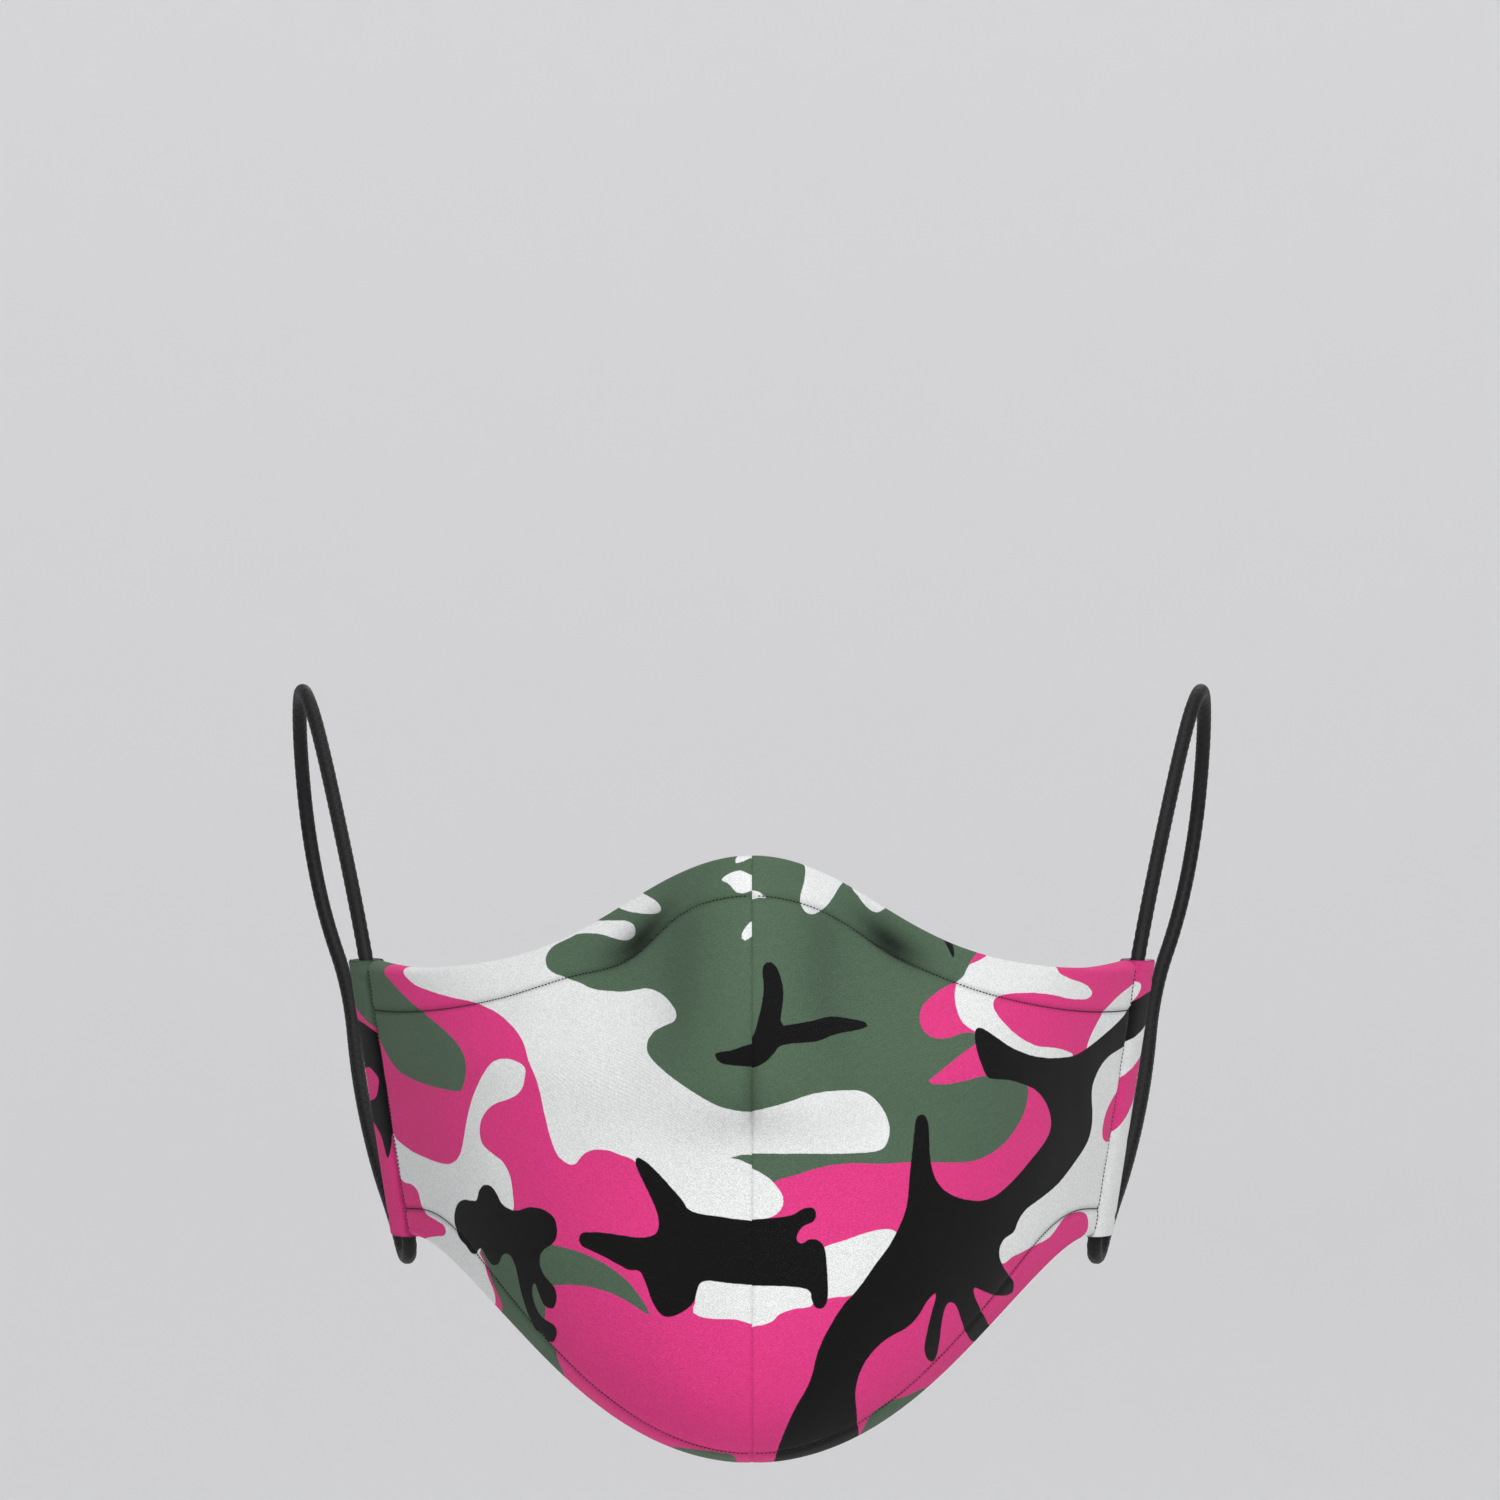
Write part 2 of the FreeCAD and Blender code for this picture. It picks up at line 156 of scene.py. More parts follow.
def normals(s, t):
    """The form's outward directions."""
    step = 1e-4
    low_s, high_s = np.maximum(s - step, 0), np.minimum(s + step, 1)
    low_t, high_t = np.maximum(t - step, 0), np.minimum(t + step, 1)
    return unit(np.cross(form(s, high_t) - form(s, low_t), form(high_s, t) - form(low_s, t)))


def lengths_along(points, axis):
    """Distance run along one axis of a grid of points, from its start."""
    steps = np.linalg.norm(np.diff(points, axis=axis), axis=-1)
    start = np.zeros_like(np.take(steps, [0], axis=axis))
    return np.concatenate([start, np.cumsum(steps, axis=axis)], axis=axis)


class Chart:
    """Where points of the cloth lie, in distances over the cloth."""
    COLUMNS, ROWS = 240, 200

    def __init__(self):
        self.s = np.linspace(0, 1, self.COLUMNS + 1)
        self.t = np.linspace(0, 1, self.ROWS + 1)
        s, t = np.meshgrid(self.s, self.t, indexing="ij")
        bare = form(s, t)
        self.face = bare + normals(s, t) * OUTER_TOP
        self.from_seam = lengths_along(self.face, 0)
        self.from_top = lengths_along(bare, 1)
        self.from_chin = self.from_top[:, -1:] - self.from_top

    def look_up(self, table, s, t):
        """Values of a table at s and t, by straight interpolation."""
        a = np.clip(s, 0, 1) * self.COLUMNS
        b = np.clip(t, 0, 1) * self.ROWS
        i, j = np.minimum(a.astype(int), self.COLUMNS - 1), np.minimum(b.astype(int), self.ROWS - 1)
        a, b = a - i, b - j
        return ((table[i, j] * (1 - a) + table[i + 1, j] * a) * (1 - b)
                + (table[i, j + 1] * (1 - a) + table[i + 1, j + 1] * a) * b)

    def t_below_top(self, s, distance):
        """The t at that distance below the top edge, for each s."""
        columns = [np.interp(distance, row, self.t) for row in self.from_top]
        return np.interp(s, self.s, columns)

    def t_above_chin(self, s, distance):
        """The t at that distance above the chin edge, for each s."""
        columns = [np.interp(-distance, -row, self.t) for row in self.from_chin]
        return np.interp(s, self.s, columns)

    def s_from_seam(self, distance, t=0.5):
        """The s at that distance from the centre seam, at one t."""
        row = self.look_up(self.from_seam, self.s, np.full(self.s.shape, t))
        return np.interp(distance, row, self.s)

    def s_from_side(self, distance, t=0.5):
        """The s at that distance from the side, at one t."""
        row = self.look_up(self.from_seam, self.s, np.full(self.s.shape, t))
        return np.interp(row[-1] - distance, row, self.s)

    def s_beside(self, t, from_side):
        """The s of a line down the half at a distance from its side, for each t."""
        return np.interp(t, [0, 0.5, 1], [self.s_from_side(from_side, share) for share in (0.0, 0.5, 1.0)])


chart = Chart()

# ---------------------------------------------------------------- the print, as outlines on the cloth
# Each outline is a list of (distance from the centre seam, depth below the bridge of the nose).
# Later layers are printed over earlier ones, on a pink ground.
LAYERS = ("white", "green", "white_over", "pink_over", "black")
SIDE_CROWDING = 7.0      # how much closer together the right half's print is beside its casing
CROWDED_FROM_SEAM = (82, 96)
CROWDED_DEPTH = (18, 30)
FIELD_REACH = 2.0        # how far in and out of a patch its outline is felt
PRINT_LEFT = {
    "white": [
        [(47, 11), (54, 13), (60.2, 15.8), (61.5, 17.8), (65, 18.9), (69, 19.7), (71.8, 20.8), (72, 21.6),
         (70, 22.1), (65, 21.9), (60, 21.2), (55, 20.8), (50, 20.8), (47, 21.3), (46.3, 22.3), (47, 23.5),
         (50, 25.6), (54, 27.6), (59, 29), (64, 29.4), (68, 29.9), (71.5, 30.8), (68, 32), (60, 32.5),
         (52, 31), (46, 27.5), (42.5, 26), (40.5, 24.8), (38.9, 22.4), (38.5, 20), (39.6, 17.8),
         (41.5, 16.3), (44, 15.5), (46.3, 14.3)],
        [(76.5, 30.5), (76.1, 28), (77, 25.7), (79, 23.8), (82, 22.3), (86, 21), (90, 20), (93, 19.9),
         (94.4, 20.8), (93.5, 22.5), (90, 26), (84, 29), (79, 31)],
        [(112, 22), (103, 25), (92, 27), (80, 31), (74, 38), (76, 43), (70, 47), (56, 52), (48, 58),
         (50.5, 62.4), (54, 61.6), (58, 60.8), (62, 60), (66, 59), (69.5, 57.3), (73, 56), (77, 55.6),
         (79.5, 55.9), (79.6, 57), (77.5, 58.6), (74, 59.8), (72, 61), (75, 66), (112, 66)],
        [(11, 59), (15, 57.7), (19, 56.6), (22.5, 56.2), (24.5, 56.8), (25, 59), (21, 64), (16.5, 66.1),
         (13.5, 66.4), (10.5, 66.3), (9.5, 62)],
        [(-3, 62.5), (8.5, 63), (9.6, 65), (9.4, 67.6), (6.5, 68.1), (4.4, 68.8), (3, 70), (1, 70.6),
         (-3, 70.7)],
    ],
    "green": [
        [(-3, -8), (50, -8), (50, 12), (45.3, 13.6), (42, 15.6), (39.5, 18.4), (36, 19.8), (33, 22),
         (32.3, 24), (33, 26), (35, 27.2), (38, 27.3), (41, 26.6), (43.6, 26.8), (43.7, 28.2), (40, 30),
         (36, 32), (33, 33.5), (32.7, 34.1), (36, 34.3), (40, 33.9), (45, 33.2), (50, 33.4), (55.3, 34.8),
         (54.8, 38), (53, 40.5), (49.5, 43.3), (45, 45.3), (40, 46.3), (34, 46.3), (29, 46), (22, 46.2),
         (16, 46), (11, 46.5), (7, 47.6), (4, 48.4), (1, 50), (-3, 50.5)],
        [(17.3, 90), (18.5, 87.2), (20.5, 84.9), (23.5, 83.4), (27, 82.7), (31, 81.8), (33, 84), (25, 92),
         (16, 96)],
    ],
    "white_over": [
        [(8.9, -4), (9.1, 1), (8.9, 3), (8.1, 5.2), (8.3, 6.8), (9.3, 7.9), (10.8, 8.1), (12.6, 7.4),
         (14.6, 5.8), (16.4, 3.9), (18.3, 2.6), (20, 0), (16, -4)],
        [(-1.5, 4.5), (0.6, 4.5), (1.8, 5), (2.4, 5.7), (1.4, 5.5), (0, 5.8), (-1.5, 5.9)],
        [(19.2, 4), (20.2, 5.4), (21.8, 7), (23.4, 7.9), (25, 7.8), (27, 6), (22, 1.5)],
        [(-3, 38.2), (0, 37.8), (5, 36.6), (10, 35.2), (16, 34.8), (20, 35.3), (22.5, 37.5), (23.5, 40.5),
         (22.8, 43), (21, 44.2), (16, 44.5), (8, 44.4), (0, 44.3), (-3, 44.3)],
        [(-3, 46), (0, 46.6), (2.8, 48.3), (4.6, 50.6), (4.6, 52.6), (3, 54), (0, 54.6), (-3, 54.8)],
    ],
    "pink_over": [
        [(110, 29.6), (105, 31.5), (101, 33.2), (97, 34.5), (93, 36), (89.5, 37.8), (87.3, 40),
         (86.5, 42.3), (87, 44.2), (89.5, 45), (92.5, 44.4), (95.5, 43), (99, 41), (102, 38.4), (105, 35.6),
         (110, 34)],
    ],
    "black": [
        [(1.6, 16.3), (1.8, 19), (1.5, 21.5), (0.9, 24), (0.2, 26.3), (-1, 27), (-3, 28), (-3, 31.3),
         (0, 31.2), (2, 30.3), (3.5, 28.9), (4.4, 27.9), (7, 27.5), (11, 27.3), (15, 26.3), (20, 25.7),
         (21.8, 25.2), (21.3, 24.6), (18, 24), (14, 23.6), (10, 24.2), (6, 24.7), (4.9, 24.8), (4.5, 23.8),
         (4.9, 21), (4.9, 19), (4.1, 16.5), (3.2, 15.4), (2.3, 15.3)],
        [(36.8, 11), (37.6, 13.4), (38.5, 15.2), (38.9, 13.6), (38.6, 11)],
        [(43.6, 26.1), (45, 26), (48, 27.3), (52, 29), (57, 30.3), (62, 30.9), (67, 31), (72, 30.8),
         (77, 29.6), (82, 27.6), (88, 25), (93, 23), (98, 21.7), (104, 21), (112, 20), (112, 24),
         (104, 26.2), (101, 27.5), (97, 29), (92, 30.2), (87, 31.3), (83, 33), (80, 35), (79, 36.5),
         (79.3, 38), (80.4, 40), (80.9, 42), (80.3, 44), (78.5, 45.7), (75, 47.8), (71, 49.9), (67.5, 51.3),
         (63, 52.7), (58, 54.2), (55.5, 55.8), (54, 57.7), (51.5, 58.5), (50, 59.8), (50, 61.5),
         (51.3, 63.2), (53.2, 64.9), (53.8, 66), (53, 67.4), (51, 67.8), (48, 67.4), (45, 66.5), (43, 66),
         (43.2, 67.3), (44.7, 69.5), (45.8, 71.5), (45.6, 73), (44, 74.6), (42, 75), (40.5, 72.5),
         (39.5, 70.5), (38.5, 68.7), (37, 68), (35.8, 68.7), (35, 71), (34.5, 74), (33.7, 76.5),
         (32.8, 77.4), (31.6, 76.8), (31, 75), (31.7, 72), (32.5, 69.5), (33.3, 67.3), (33.3, 66.4),
         (31.5, 67.5), (29.5, 69.8), (27, 71.6), (23.5, 72.9), (20.5, 74.8), (18.2, 77.5), (17, 81),
         (17.2, 85), (17.4, 90), (16.5, 97), (3, 97), (3.6, 92), (4.6, 88.5), (6.5, 84), (9, 79.5),
         (10.3, 75), (12, 71.5), (14.5, 67.9), (17.5, 65), (20.5, 61.5), (23, 58.8), (25, 55.8), (26.3, 53),
         (26.7, 50.5), (27, 47.5), (27.7, 43.5), (28.5, 40), (29.3, 39), (30.5, 39), (31, 40.5), (31, 44),
         (31.4, 47), (33, 49.6), (36, 51.3), (40, 52.2), (44, 52.4), (48, 51.6), (53, 49.3), (58, 46.4),
         (62, 43.9), (63.5, 42), (63, 40), (61, 37.8), (58, 35.9), (55.5, 35.1), (51, 34.1), (47, 33.8),
         (45.3, 33.3), (44.4, 31), (43.6, 28)],
        [(-3, 54.5), (0, 54.4), (3, 54.2), (6, 53.8), (8, 52.8), (9.5, 52.7), (10.1, 53.6), (9.6, 54.8),
         (8, 55.5), (7, 56.8), (7, 57.8), (7.8, 58.1), (9, 57.5), (10.5, 57.7), (11.5, 59), (11.8, 61),
         (12, 64), (12, 66.5), (11.3, 68), (10, 68), (9.3, 66.7), (9, 65.4), (7, 64.8), (4, 64.6),
         (0, 64.5), (-3, 64.4)],
        [(102, 43.4), (102.8, 43.2), (103.2, 45.6), (102.9, 47.2), (102.3, 46.4), (101.6, 45.2)],
    ],
}
PRINT_RIGHT = {
    "white": [
        [(-3, 4), (30, 4), (34, 9.5), (50, 12), (66, 14.5), (74, 15), (73.7, 18), (72.5, 19), (70, 20),
         (65, 20.9), (60, 21.6), (55, 22.2), (50, 23.6), (47, 25.7), (45, 28), (43.5, 30.8), (41, 33.6),
         (39, 36.5), (37.3, 40), (36, 43), (34.5, 45.3), (32.5, 46.4), (31, 46.5), (30.2, 45.8), (29, 44.8),
         (27.3, 44.2), (24.5, 44.2), (22, 44.9), (19.6, 45.6), (17.3, 47.8), (14.6, 52), (8, 58), (-3, 58)],
        [(43.6, 33.5), (44, 32), (46, 31.1), (49, 30.7), (52, 31.3), (54, 33), (55.5, 35.5), (57, 38.3),
         (58.8, 41.7), (60.5, 44.5), (62.5, 46.4), (66, 47.5), (70, 47.6), (76, 47.1), (83, 46.3),
         (90, 45.3), (94, 44.6), (97, 43.6), (99.5, 43.5), (100.9, 45), (100.8, 47), (99.3, 49), (95, 50.6),
         (90, 51.3), (85, 51.5), (82, 52.2), (80.5, 53.6), (79, 55), (77, 55.9), (73, 56.7), (70, 57.4),
         (68.7, 58.3), (69, 59.1), (71, 59.4), (73, 60.4), (71, 64), (60, 71), (53.5, 73), (51, 72.6),
         (50.2, 71), (52.3, 67.5), (54.8, 64.5), (56.7, 62), (57.4, 60.9), (53, 59), (49, 57), (46.2, 54),
         (46, 51.5), (46.4, 48.8), (48, 46.7), (51, 45.4), (53.5, 44.2), (54.3, 42.7), (53.8, 40.6),
         (52, 38.8), (49.5, 37.6), (46.5, 36.9), (44.4, 36), (43.6, 34.8)],
        [(-3, 62.5), (6, 62.5), (8.8, 65), (8.8, 67), (9.3, 68.5), (8, 69.3), (6, 69.6), (2.5, 69.7),
         (0, 70.4), (-3, 70.7)],
    ],
    "green": [
        [(-3, -8), (33, -8), (33.2, 9.5), (33.8, 11.3), (36.2, 12.4), (38.2, 13.3), (39.3, 14.6),
         (39.2, 16), (38, 17.2), (35, 18.2), (32.5, 18.9), (30, 19.8), (25, 20.1), (21.5, 19.7),
         (19.8, 19.5), (17.3, 20), (15, 21.3), (13.4, 23), (13.8, 24.3), (16, 25.1), (18, 26), (19.2, 27.6),
         (18.9, 29.2), (17.3, 30.6), (14, 32.6), (10, 34.7), (6, 36.7), (3, 37.6), (0, 37.9), (-3, 37.9)],
        [(-3, 44.9), (1.5, 44.5), (3.4, 44.9), (1.8, 45.3), (0, 46.1), (-3, 46.6)],
        [(59.3, 34.3), (59.5, 31.8), (61, 29.3), (64, 27), (68, 24.9), (72, 23), (76, 21.2), (79.5, 19.3),
         (81.3, 17.8), (82, 13), (112, 13), (112, 20), (106, 22.5), (102, 26), (98, 29.4), (94, 31.6),
         (88, 33.3), (80, 34.6), (72, 35.5), (66, 35.9), (61, 36.1), (59.8, 35.6)],
        [(16.7, 69.2), (18, 67), (20.3, 64.5), (23.5, 62.4), (27, 60.9), (31, 59.8), (35, 59.2), (40, 59),
         (41, 63), (37.5, 65.2), (33, 65.1), (28, 65.3), (23, 66.4), (19.5, 67.9)],
        [(40, 62), (39.3, 66), (38.9, 69), (39, 71.5), (38, 74.5), (36.5, 75.5), (35.5, 77.5), (34, 79.7),
         (32, 82.5), (36, 86), (45, 77), (48.3, 72), (50, 69.2), (52, 67), (54.4, 64.2), (56, 62),
         (57.1, 60.7), (55, 58), (45, 58)],
        [(2.5, 92), (5, 91), (9, 90.6), (13, 90.9), (12, 96), (3, 97)],
    ],
    "white_over": [
        [(17, 7.3), (17.9, 6.3), (20, 5.4), (23, 4.6), (26.5, 6), (28, 7), (26, 7.3), (24, 7.8),
         (21.5, 8.1), (19, 8.2), (17.4, 7.9)],
        [(22.3, 10.8), (22.7, 9.8), (24.2, 9.3), (27, 9.3), (31, 9.3), (36, 8.5), (39, 9.5), (37, 11.4),
         (34.5, 11.5), (32, 11.3), (29, 11.4), (26.3, 12), (24.2, 12.3), (22.8, 11.8)],
        [(-3, -3), (1.6, -3), (2.2, -1.2), (2.6, 0.2), (1.6, 0.1), (0.7, -0.3), (0, -0.5), (-3, -0.6)],
        [(-3, 2.6), (0, 2.1), (1.8, 1.4), (3.7, 1.9), (5, 3), (4, 3.2), (3.2, 3.8), (2.5, 4.7), (1.3, 4.9),
         (0, 4.5), (-3, 4.4)],
        [(-1.5, 8.6), (0.4, 9.4), (1.5, 10.9), (1.5, 11.9), (0.6, 11.8), (-1.5, 10.2)],
    ],
    "pink_over": [],
    "black": [
        [(-3, 54.9), (0, 54.6), (5, 54), (9.5, 53.2), (11, 51.5), (13, 49.5), (15, 47.6), (17.5, 45.7),
         (19, 45.2), (19.2, 46.2), (18.3, 48), (16.8, 50.5), (15.3, 53.5), (15, 55.8), (16, 57),
         (18.5, 57.4), (22, 57.1), (25.5, 56.8), (28, 56.8), (29.8, 57), (30.5, 58), (29.8, 59), (28, 59.6),
         (25, 60.6), (22.5, 61.6), (20.5, 62.4), (18.5, 62.5), (17.5, 64), (16.8, 65.7), (16, 67.5),
         (14.5, 69.2), (12.8, 69.4), (10.5, 68.4), (9, 67), (8.6, 65.5), (8, 64.2), (6.5, 63.8), (4, 64.1),
         (0, 64.4), (-3, 64.5)],
        [(35.3, 56.2), (36, 54.7), (38.5, 53.6), (42, 53.4), (45, 54), (47.5, 53.8), (49.5, 53),
         (50.8, 51.5), (52.3, 50.5), (54.5, 50.4), (56.3, 51.3), (57.5, 52.8), (59.5, 53), (62.5, 53),
         (65, 53.9), (66.3, 55.7), (65.8, 57.8), (64, 59.3), (61.8, 60.3), (60.2, 61.3), (58.7, 61.4),
         (57.7, 60.6), (56.7, 60.5), (55.5, 61.6), (53.7, 62.8), (51.8, 62.7), (50.5, 61.4), (49.5, 60.9),
         (47.8, 61.2), (46.5, 63), (45.7, 65.5), (44.6, 68), (43.2, 70.5), (41.5, 72.6), (39.8, 73.2),
         (38.3, 74.4), (36.8, 74.3), (36.1, 73), (36.5, 71.8), (38.5, 71), (40, 70.4), (41.3, 69),
         (42.2, 67), (41.9, 65.4), (41.3, 65.3), (40.5, 66.7), (39.5, 68.3), (38, 69), (36.6, 68.7),
         (36, 67), (36.6, 65.5), (38.5, 64.2), (39.7, 62.8), (39.8, 61), (38.6, 59.8), (36.8, 59),
         (35.5, 57.8)],
        [(-3, 27.2), (1, 27.8), (3, 28.5), (5, 28.8), (5.9, 29.3), (5, 30.4), (3, 30.8), (0, 31),
         (-3, 31.1)],
        [(112, 26), (105, 26.3), (102, 27.5), (100.2, 30.5), (98.7, 34), (97.9, 37), (98.2, 39.5),
         (99.6, 41.6), (101.3, 44), (102.8, 47), (104.2, 47.6), (105.3, 44.5), (108, 42.5), (112, 42),
         (112, 39.5), (106, 38.5), (104.2, 37.4), (103.7, 35.6), (105.2, 34.4), (108, 33.5), (112, 33)],
    ],
}
PRINTS = {"left": PRINT_LEFT, "right": PRINT_RIGHT}


def smooth_outline(points, steps=5):
    """A closed smooth curve through the points, as a dense polygon."""
    knots = np.array(points, float)
    before, after, next_after = np.roll(knots, 1, 0), np.roll(knots, -1, 0), np.roll(knots, -2, 0)
    spans = []
    for x in np.arange(steps) / steps:
        spans.append(0.5 * (2 * knots + (after - before) * x
                            + (2 * before - 5 * knots + 4 * after - next_after) * x ** 2
                            + (3 * knots - before - 3 * after + next_after) * x ** 3))
    return np.stack(spans, axis=1).reshape(-1, 2)


def inside_by(points, polygon, reach=FIELD_REACH):
    """How far points lie inside a polygon, negative outside, capped at the reach."""
    depth = np.full(len(points), -reach)
    near = np.all((points > polygon.min(0) - reach) & (points < polygon.max(0) + reach), axis=1)
    start, end = polygon, np.roll(polygon, -1, 0)
    way = end - start
    squared = np.maximum((way ** 2).sum(1), 1e-9)
    found = []
    for chunk in np.array_split(points[near], max(1, near.sum() // 2000)):
        offset = chunk[:, None] - start
        share = np.clip((offset * way).sum(2) / squared, 0, 1)
        distance = np.linalg.norm(offset - share[..., None] * way, axis=2).min(1)
        crosses = (start[:, 1] > chunk[:, None, 1]) != (end[:, 1] > chunk[:, None, 1])
        rise = np.where(way[:, 1] == 0, 1e-9, way[:, 1])
        left_of = chunk[:, None, 0] < start[:, 0] + way[:, 0] * offset[..., 1] / rise
        odd = (crosses & left_of).sum(1) % 2 == 1
        found.append(np.where(odd, distance, -distance))
    if found:
        depth[near] = np.clip(np.concatenate(found), -reach, reach)
    return depth


def print_fields(side, from_seam, depth):
    """For each layer of the print, how far the points of a half lie inside its patches."""
    if side == "right":
        crowded = smoothstep(from_seam, *CROWDED_FROM_SEAM) * smoothstep(depth, *CROWDED_DEPTH)
        from_seam = from_seam + SIDE_CROWDING * crowded
    pattern = PRINTS[side]
    points = np.stack([from_seam.ravel(), depth.ravel()], axis=1)
    fields = {}
    for layer in LAYERS:
        field = np.full(len(points), -FIELD_REACH)
        for outline in pattern[layer]:
            field = np.maximum(field, inside_by(points, smooth_outline(outline)))
        fields[layer] = field
    return fields


# ---------------------------------------------------------------- meshes
def grid_quads(columns, rows, start=0):
    """The faces of a grid of points, seen from outside the mask."""
    i, j = np.meshgrid(np.arange(columns), np.arange(rows), indexing="ij")
    corner = start + i * (rows + 1) + j
    return np.stack([corner, corner + 1, corner + rows + 2, corner + rows + 1], axis=-1).reshape(-1, 4)


def border_ring(columns, rows):
    """The grid's border points in order: down the first column, along, up the last one, and back."""
    down = [(0, j) for j in range(rows)]
    along = [(i, rows) for i in range(columns)]
    up = [(columns, j) for j in range(rows, 0, -1)]
    back = [(i, 0) for i in range(columns, 0, -1)]
    return np.array([i * (rows + 1) + j for i, j in down + along + up + back])


def tube_quads(along, around):
    """The faces of a tube: its points run round one ring after another."""
    i, j = np.meshgrid(np.arange(along - 1), np.arange(around), indexing="ij")
    first, second = i * around, (i + 1) * around
    following = (j + 1) % around
    return np.stack([first + j, first + following, second + following, second + j], axis=-1).reshape(-1, 4)


class Mesh:
    """Points, faces, material places and values on points, gathered into one object."""

    def __init__(self):
        self.points, self.faces, self.places, self.values, self.count = [], [], [], {}, 0

    def add(self, points, faces, place=0, **values):
        points = np.reshape(points, (-1, 3))
        self.points.append(points)
        self.faces.append(np.array(faces) + self.count)
        self.places.append(np.full(len(faces), place))
        for key, value in values.items():
            self.values.setdefault(key, []).append((self.count, np.ravel(value)))
        self.count += len(points)

    def add_sheet(self, outer, inner, inner_place=1, rim_place=0, **values):
        """A closed sheet of cloth between two grids of points."""
        columns, rows = outer.shape[0] - 1, outer.shape[1] - 1
        size = (columns + 1) * (rows + 1)
        ring = border_ring(columns, rows)
        following = np.roll(ring, -1)
        rim = np.stack([following, ring, ring + size, following + size], axis=-1)
        back = grid_quads(columns, rows, size)[:, ::-1]
        doubled = {key: np.concatenate([np.ravel(value)] * 2) for key, value in values.items()}
        points = np.concatenate([outer.reshape(-1, 3), inner.reshape(-1, 3)])
        first = self.count
        self.add(points, grid_quads(columns, rows), **doubled)
        self.faces += [rim + first, back + first]
        self.places += [np.full(len(rim), rim_place), np.full(len(back), inner_place)]

    def build(self, name, body, materials, right=False):
        points = np.concatenate(self.points) * MM
        faces = np.concatenate(self.faces)
        if right:
            points = points * (-1, 1, 1)
            faces = faces[:, ::-1]
        mesh = bpy.data.meshes.new(name)
        mesh.from_pydata(points.tolist(), [], faces.tolist())
        for material in materials:
            mesh.materials.append(material)
        mesh.polygons.foreach_set("material_index", np.concatenate(self.places).astype(np.int32))
        mesh.polygons.foreach_set("use_smooth", np.ones(len(faces), bool))
        for key, parts in self.values.items():
            whole = np.zeros(len(points), np.float32)
            for start, part in parts:
                whole[start:start + len(part)] = part
            mesh.attributes.new(key, "FLOAT", "POINT").data.foreach_set("value", whole)
        mesh.update()
        piece = bpy.data.objects.new(name, mesh)
        bpy.context.scene.collection.objects.link(piece)
        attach(piece, body)
        return piece


# ---------------------------------------------------------------- materials
def linear(red, green, blue):
    """A colour as seen on a screen, 0 to 255, as the shader wants it."""
    scaled = [value / 255 for value in (red, green, blue)]
    return [v / 12.92 if v <= 0.04045 else ((v + 0.055) / 1.055) ** 2.4 for v in scaled] + [1.0]


class Shader:
    """A material and short ways to add nodes to it."""

    def __init__(self, name, roughness, sheen=0.0, specular=0.3, metallic=0.0):
        self.material = bpy.data.materials.new(name)
        self.material.use_nodes = True
        self.tree = self.material.node_tree
        self.surface = self.tree.nodes["Principled BSDF"]
        self.surface.inputs["Roughness"].default_value = roughness
        self.surface.inputs["Sheen Weight"].default_value = sheen
        self.surface.inputs["Sheen Roughness"].default_value = 0.5
        self.surface.inputs["Specular IOR Level"].default_value = specular
        self.surface.inputs["Metallic"].default_value = metallic

    def node(self, kind, inputs=None, **settings):
        node = self.tree.nodes.new(kind)
        for key, value in settings.items():
            setattr(node, key, value)
        for key, value in (inputs or {}).items():
            if isinstance(value, bpy.types.NodeSocket):
                self.tree.links.new(value, node.inputs[key])
            else:
                node.inputs[key].default_value = value
        return node

    def value(self, name):
        return self.node("ShaderNodeAttribute", attribute_name=name).outputs["Fac"]

    def math(self, operation, first, second=0.0):
        return self.node("ShaderNodeMath", {0: first, 1: second}, operation=operation).outputs[0]

    def mixed(self, share, first, second, blend="MIX"):
        mix = self.node("ShaderNodeMix", {0: share, 6: first, 7: second}, data_type="RGBA", blend_type=blend)
        return mix.outputs[2]

    def shaded(self, colour, factor):
        """The colour, lighter or darker by a factor."""
        grey = self.node("ShaderNodeCombineColor", {0: factor, 1: factor, 2: factor}).outputs[0]
        return self.mixed(1.0, colour, grey, "MULTIPLY")

    def ramp(self, value, low, high, start=0.0, end=1.0):
        limits = {"Value": value, "From Min": low, "From Max": high, "To Min": start, "To Max": end}
        return self.node("ShaderNodeMapRange", limits).outputs[0]

    def noise(self, scale, detail=2.0, stretch=None):
        place = self.node("ShaderNodeTexCoord").outputs["Object"]
        if stretch:
            place = self.node("ShaderNodeMapping", {"Vector": place, "Scale": stretch}).outputs[0]
        return self.node("ShaderNodeTexNoise", {"Vector": place, "Scale": scale, "Detail": detail}).outputs[0]

    def weave(self, across, along, pitch_across, pitch_along):
        """A plain weave from two distances over the cloth in mm: threads that rise over each other."""
        wave_across = self.math("SINE", self.math("MULTIPLY", across, 2 * math.pi / pitch_across))
        wave_along = self.math("SINE", self.math("MULTIPLY", along, 2 * math.pi / pitch_along))
        return self.math("MULTIPLY", wave_across, wave_along)

    def colour(self, socket):
        self.tree.links.new(socket, self.surface.inputs["Base Color"])

    def bump(self, height, distance, strength=0.5):
        bump = self.node("ShaderNodeBump", {"Height": height, "Distance": distance, "Strength": strength})
        self.tree.links.new(bump.outputs[0], self.surface.inputs["Normal"])


